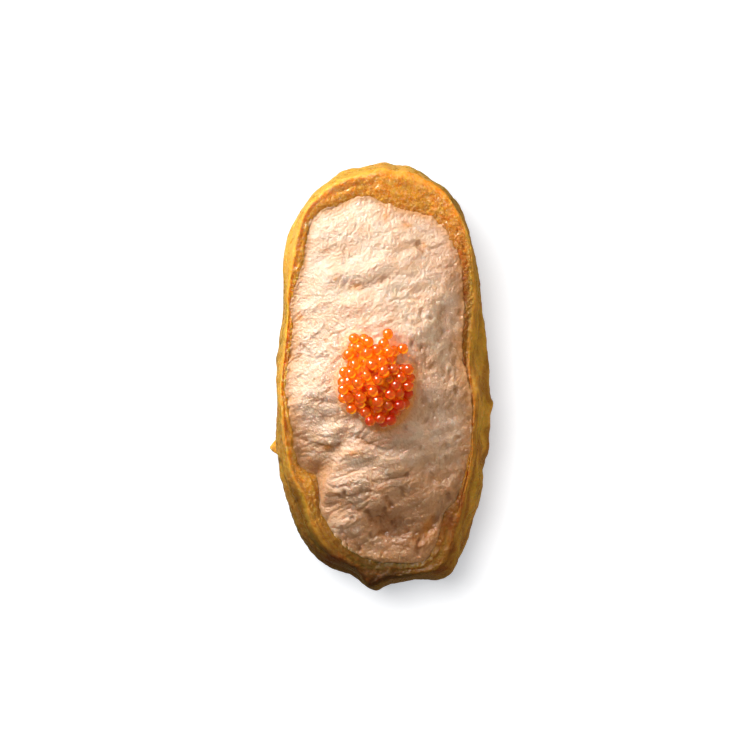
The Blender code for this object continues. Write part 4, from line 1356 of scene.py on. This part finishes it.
def edge_masks(direction, reach_in, x, y, z):
    """Where the filling lies thinly over the skin, darkened towards the lower right end by painted shade, and
    its very edge.
    """
    uneven = 1.0 + 0.5 * fine(x, y, z + 20.0, 2.5, 3)
    thin = np.exp(-(reach_in * uneven / (0.9 + bumps(direction, THIN))) ** 2)
    # painted shade: darker towards the low end and the right
    low = -y - 9.0 + 0.35 * x + 2.5 * fine(x, y, z + 30.0, 4.0, 2)
    thin = np.maximum(thin, 0.75 * smooth_step(low / 18.0)) * (1.0 - patches(x, y, CLEAR_OF_THIN_AND_SHADE))
    ragged = reach_in * (1.0 + 0.6 * fine(x, y, z + 40.0, 1.5, 2)) / 0.6
    return thin, (FRINGE - bumps(direction, FRINGE_LESS)) * np.exp(-ragged ** 2)


def spill(direction):
    """How far the filling's ragged edge lies over the lip."""
    radius = filling_radius(direction)
    angle = np.radians(direction)
    x, y = radius * np.cos(angle), radius * np.sin(angle)
    ragged = 0.45 + 0.6 * fine(x, y, 0.0 * x, 4.5, 2) + 0.35 * fine(x, y, 0.0 * x + 9.0, 1.2, 2)
    return np.clip(ragged, 0.08, 1.4) * (1.0 - bumps(direction, SPILL_LESS))


def rim_surface(direction, reach):
    """Height of the rim's inner slope under a point of the filling's edge; inside the lip it is the lip's."""
    turns = np.arange(-180.0, 180.0, RIM_TURN)
    knots = np.linspace(10.0, 8.0, RIM_STEPS)
    slope = pouch_shape(np.repeat(turns, RIM_STEPS), np.tile(knots, len(turns)))
    slope = slope.reshape(len(turns), RIM_STEPS, 3)
    away = np.hypot(slope[..., 0], slope[..., 1])
    even = np.linspace(0.0, 1.0, RIM_STEPS)
    heights = np.array([np.interp(even, (row - row[0]) / (row[-1] - row[0]), height)
                        for row, height in zip(away, slope[..., 2])])
    place_in = (direction + 180.0) / RIM_TURN
    turn = np.floor(place_in).astype(int)
    between = place_in - turn
    turn, following = turn % len(turns), (turn + 1) % len(turns)
    lip = away[turn, 0] * (1.0 - between) + away[following, 0] * between
    crest = away[turn, -1] * (1.0 - between) + away[following, -1] * between
    step = np.clip((reach - lip) / (crest - lip), 0.0, 1.0) * (RIM_STEPS - 1)
    low = np.minimum(step.astype(int), RIM_STEPS - 2)
    share = step - low
    here = heights[turn, low] * (1.0 - share) + heights[turn, low + 1] * share
    there = heights[following, low] * (1.0 - share) + heights[following, low + 1] * share
    return here * (1.0 - between) + there * between


def along_axes(points):
    """Order of points by x, then y, then z."""
    return np.lexsort(points.round(7).T[::-1])


def sink_filling_sides(piece, direction):
    """Extrude the edge of the heap down the pouch's hollow, ring by ring, and close it on the floor."""
    bpy.context.view_layer.objects.active = piece
    piece.select_set(True)
    bpy.ops.object.mode_set(mode="EDIT")
    bpy.ops.mesh.select_mode(type="EDGE")
    bpy.ops.mesh.select_all(action="DESELECT")
    bpy.ops.mesh.select_non_manifold(extend=False, use_boundary=True)
    bpy.ops.object.mode_set(mode="OBJECT")
    ring = np.zeros(len(piece.data.vertices), bool)
    piece.data.vertices.foreach_get("select", ring)
    rim_points = vertex_values(piece, "co")[ring]
    rim_direction = direction[ring]
    for knot in SIDE_RINGS:
        before = len(piece.data.vertices)
        bpy.ops.object.mode_set(mode="EDIT")
        bpy.ops.mesh.extrude_region_move(TRANSFORM_OT_translate={"value": (0.0, 0.0, -SIDE_STEP)})
        bpy.ops.object.mode_set(mode="OBJECT")
        positions = vertex_values(piece, "co")
        fresh = positions[before:]
        # each new vertex stands one step under the one it came from
        source = np.empty(len(fresh), int)
        source[along_axes(fresh)] = along_axes(rim_points)
        turned = rim_direction[source]
        reach, height = (section(key, np.full(len(turned), knot)) for key in hollow_keys(turned, GAP))
        angle = np.radians(turned)
        moved = np.stack([reach * np.cos(angle), reach * np.sin(angle), height], axis=-1)
        positions[before:] = (moved + SHIFT) * MM
        piece.data.vertices.foreach_set("co", positions.astype(np.float32).ravel())
        piece.data.update()
        rim_points = positions[before:].astype(np.float32).astype(float)
        rim_direction = turned
    bpy.ops.object.mode_set(mode="EDIT")
    bpy.ops.mesh.edge_face_add()
    bpy.ops.mesh.select_all(action="SELECT")
    bpy.ops.mesh.normals_make_consistent(inside=False)
    bpy.ops.mesh.select_all(action="DESELECT")
    bpy.ops.object.mode_set(mode="OBJECT")


def make_juice(eggs):
    """The juice that holds the eggs: a low dome that follows the heap."""
    deselect()
    bpy.ops.mesh.primitive_uv_sphere_add(segments=64, ring_count=24, radius=1.0)
    piece = newest("roe_juice")
    ball = vertex_values(piece, "co")
    turn = np.degrees(np.arctan2(ball[:, 1], ball[:, 0]))
    reach = np.hypot(ball[:, 0], ball[:, 1]) * ROE_CORE_SHRINK * roe_radius(turn)
    x = ROE_CENTRE[0] + reach * np.cos(np.radians(turn))
    y = ROE_CENTRE[1] + reach * np.sin(np.radians(turn))
    seat = heap_height(x, y) + GAP + ROE_CORE_LIFT
    top = seat + EGG_RADIUS
    for egg_x, egg_y, egg_z, radius in eggs:
        near = np.hypot(x - egg_x, y - egg_y) < 1.6 * EGG_RADIUS
        top = np.where(near, np.maximum(top, egg_z + radius - ROE_CORE_COVER), top)
    up = ball[:, 2]
    lift = (1.0 - ROE_CORE_RIM) * np.maximum(up, 0.0) + ROE_CORE_RIM * np.minimum(1.0, 1.0 + up)
    place(piece, np.stack([x, y, seat + (top - seat) * lift], axis=-1))
    return piece


def make_eggs(eggs, settings):
    """Every egg of the roe, each its own slightly uneven ball, joined."""
    deselect()
    bpy.ops.mesh.primitive_ico_sphere_add(subdivisions=settings.egg_steps, radius=1.0)
    first = newest("roe_eggs")
    ball = vertex_values(first, "co")
    draw = random.Random(EGG_SEED + 1)
    painted_shades_and_tones, glows, copies = [], [], []
    for x, y, z, radius in eggs:
        copy = first.copy()
        copy.data = first.data.copy()
        bpy.context.collection.objects.link(copy)
        squash = np.array([1.0 + draw.uniform(-EGG_SQUASH, EGG_SQUASH) for _ in range(3)])
        place(copy, ball * squash * radius + np.array([x, y, z]))
        # painted shade: eggs darker towards the mound's lower right, with a random tone from egg to egg; each
        # egg is also lighter on its far side from the key, painted light
        shade = 0.38 + 0.055 * (x - ROE_CENTRE[0]) - 0.05 * (y - ROE_CENTRE[1]) + draw.uniform(-0.16, 0.16)
        toward = ball @ np.array(EGG_LIT_FROM)
        painted_shades_and_tones.append(np.clip(shade - 0.26 * toward, 0.0, 1.0))
        # painted light: a bright crescent on each egg's far side from the key, fainter on the shaded eggs
        out = np.hypot(ball[:, 0], ball[:, 1])
        crescent = smooth_step((out - 0.60) / 0.14) * smooth_step((0.98 - out) / 0.08) * (ball[:, 2] > -0.1)
        bright = draw.uniform(0.3, 1.0) * min(max(1.35 - 1.5 * shade, 0.1), 1.0)
        glows.append(bright * crescent * smooth_step((toward / np.maximum(out, 0.1) - 0.55) / 0.35))
        copies.append(copy)
    bpy.data.objects.remove(first, do_unlink=True)
    deselect()
    for copy in copies:
        copy.select_set(True)
    bpy.context.view_layer.objects.active = copies[0]
    bpy.ops.object.join()
    piece = newest("roe_eggs")
    add_mask(piece, "tone", np.concatenate(painted_shades_and_tones))
    add_mask(piece, "glow", np.concatenate(glows))
    return piece


def look_back(direction, elevation):
    """The way from the object to a lamp."""
    turn, lift = math.radians(direction), math.radians(elevation)
    return Vector((math.cos(turn) * math.cos(lift), math.sin(turn) * math.cos(lift), math.sin(lift)))


def add_lamp(name, kind, back, place_in, power):
    """A lamp that looks at the object."""
    bpy.ops.object.light_add(type=kind, location=place_in)
    lamp = bpy.context.object
    lamp.name = name
    lamp.rotation_euler = (-back).to_track_quat("-Z", "Y").to_euler()
    lamp.data.energy = power
    return lamp


def light_alone(lamp, pieces):
    """Let a lamp light these pieces alone."""
    lit = bpy.data.collections.new("lit_by_" + lamp.name)
    for piece in pieces:
        lit.objects.link(piece)
    lamp.light_linking.receiver_collection = lit


def make_lamps(settings, floor):
    """Soft light from the upper left, small lamps for the glints, and a broad sun for the floor alone."""
    food = list(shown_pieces())
    eggs = [piece for piece in food if piece.name == "roe_eggs"]
    not_eggs = [piece for piece in food if piece.name != "roe_eggs"]
    receivers = {"glint": not_eggs, "egg_glint": eggs}
    for name, direction, elevation, distance, size, power, share, tint in LAMPS:
        back = look_back(direction, elevation)
        place_in = Vector(LAMP_TARGET) + back * distance
        lamp = add_lamp(name, "AREA", back, place_in, share * getattr(settings, power))
        lamp.data.size = size
        lamp.data.color = tint
        light_alone(lamp, receivers.get(name, food))
        if name in GLINT_LAMPS:
            lamp.visible_diffuse = False
        else:
            lamp.visible_glossy = False
        if name == "key_through_eggs":
            blockers = bpy.data.collections.new("blocks_light")
            for piece in not_eggs:
                blockers.objects.link(piece)
            lamp.light_linking.blocker_collection = blockers
    back = look_back(WASH_DIRECTION, WASH_ELEVATION)
    wash = add_lamp("floor_wash", "SUN", back, (0.0, 0.0, 0.5), WASH_POWER)
    wash.data.angle = math.radians(WASH_SPREAD)
    light_alone(wash, [floor])


def make_stage(settings):
    """Plain pale floor, the lamps, the room's light and a camera straight above."""
    deselect()
    bpy.ops.mesh.primitive_plane_add(size=FLOOR_SIZE, location=(0.0, 0.0, 0.0))
    floor = newest("floor")
    floor.data.materials.append(floor_material(settings))
    floor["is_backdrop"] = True
    make_lamps(settings, floor)
    world = bpy.data.worlds.new("room")
    world.use_nodes = True
    sky = world.node_tree.nodes["Background"]
    sky.inputs["Color"].default_value = ROOM_TINT
    sky.inputs["Strength"].default_value = settings.world_strength
    bpy.context.scene.world = world
    above = SHIFT + np.array([*CAMERA_AXIS, CAMERA_DISTANCE + WIDEST_HEIGHT])
    above[2] -= SHIFT[2]
    bpy.ops.object.camera_add(location=above * MM)
    camera = bpy.context.object
    camera.name = "camera"
    camera.rotation_euler = (0.0, 0.0, 0.0)
    camera.data.sensor_width = SENSOR
    camera.data.lens = SENSOR * CAMERA_DISTANCE / PHOTO_WIDTH
    camera.data.clip_start = 0.05
    camera.data.clip_end = 10.0
    bpy.context.scene.camera = camera
    bpy.context.scene.view_settings.view_transform = "Standard"
    deselect()


class INARI_OT_pouch(Operator):
    """Add the fried tofu pouch and its torn flap."""

    bl_idname = "inari.pouch"
    bl_label = "Tofu pouch"

    def execute(self, context):
        settings = context.scene.inari_pouch
        material = skin_material(settings)
        finish_piece(make_pouch(settings), material, ("tofu_pouch",))
        finish_piece(make_flap(), material)
        return {"FINISHED"}


class INARI_OT_filling(Operator):
    """Add the creamy flaked filling."""

    bl_idname = "inari.filling"
    bl_label = "Creamy filling"

    def execute(self, context):
        settings = context.scene.inari_filling
        finish_piece(make_filling(settings), filling_material(settings), ("filling",))
        return {"FINISHED"}


class INARI_OT_roe(Operator):
    """Add the roe and the juice it sits in."""

    bl_idname = "inari.roe"
    bl_label = "Roe"

    def execute(self, context):
        settings = context.scene.inari_roe
        eggs = egg_places()
        finish_piece(make_juice(eggs), juice_material(settings))
        finish_piece(make_eggs(eggs, settings), roe_material(settings), ("roe_heap",))
        return {"FINISHED"}


class INARI_OT_stage(Operator):
    """Add the floor, the lights and the camera."""

    bl_idname = "inari.stage"
    bl_label = "Stage"

    def execute(self, context):
        make_stage(context.scene.inari_stage)
        return {"FINISHED"}


class INARI_PT_panel(Panel):
    """Sidebar panel with every piece and its settings."""

    bl_label = "Inari sushi"
    bl_idname = "INARI_PT_panel"
    bl_space_type = "VIEW_3D"
    bl_region_type = "UI"
    bl_category = "Inari"

    def draw(self, context):
        for operator, group in PANEL_ROWS:
            box = self.layout.box()
            box.operator(operator)
            settings = getattr(context.scene, group)
            for name in settings.__class__.__annotations__:
                box.prop(settings, name)


PANEL_ROWS = (
    ("inari.pouch", "inari_pouch"), ("inari.filling", "inari_filling"),
    ("inari.roe", "inari_roe"), ("inari.stage", "inari_stage"),
)
GROUPS = (
    ("inari_pouch", PouchSettings), ("inari_filling", FillingSettings),
    ("inari_roe", RoeSettings), ("inari_stage", StageSettings),
)
OPERATORS = (INARI_OT_pouch, INARI_OT_filling, INARI_OT_roe, INARI_OT_stage)


def register():
    for name, group in GROUPS:
        bpy.utils.register_class(group)
        setattr(bpy.types.Scene, name, PointerProperty(type=group))
    for operator in OPERATORS:
        bpy.utils.register_class(operator)
    bpy.utils.register_class(INARI_PT_panel)


def unregister():
    bpy.utils.unregister_class(INARI_PT_panel)
    for operator in reversed(OPERATORS):
        bpy.utils.unregister_class(operator)
    for name, group in reversed(GROUPS):
        delattr(bpy.types.Scene, name)
        bpy.utils.unregister_class(group)


SHIFT = solid_shift()


def main():
    register()
    bpy.ops.inari.pouch()
    bpy.ops.inari.filling()
    bpy.ops.inari.roe()
    bpy.ops.inari.stage()


if __name__ == "__main__":
    main()
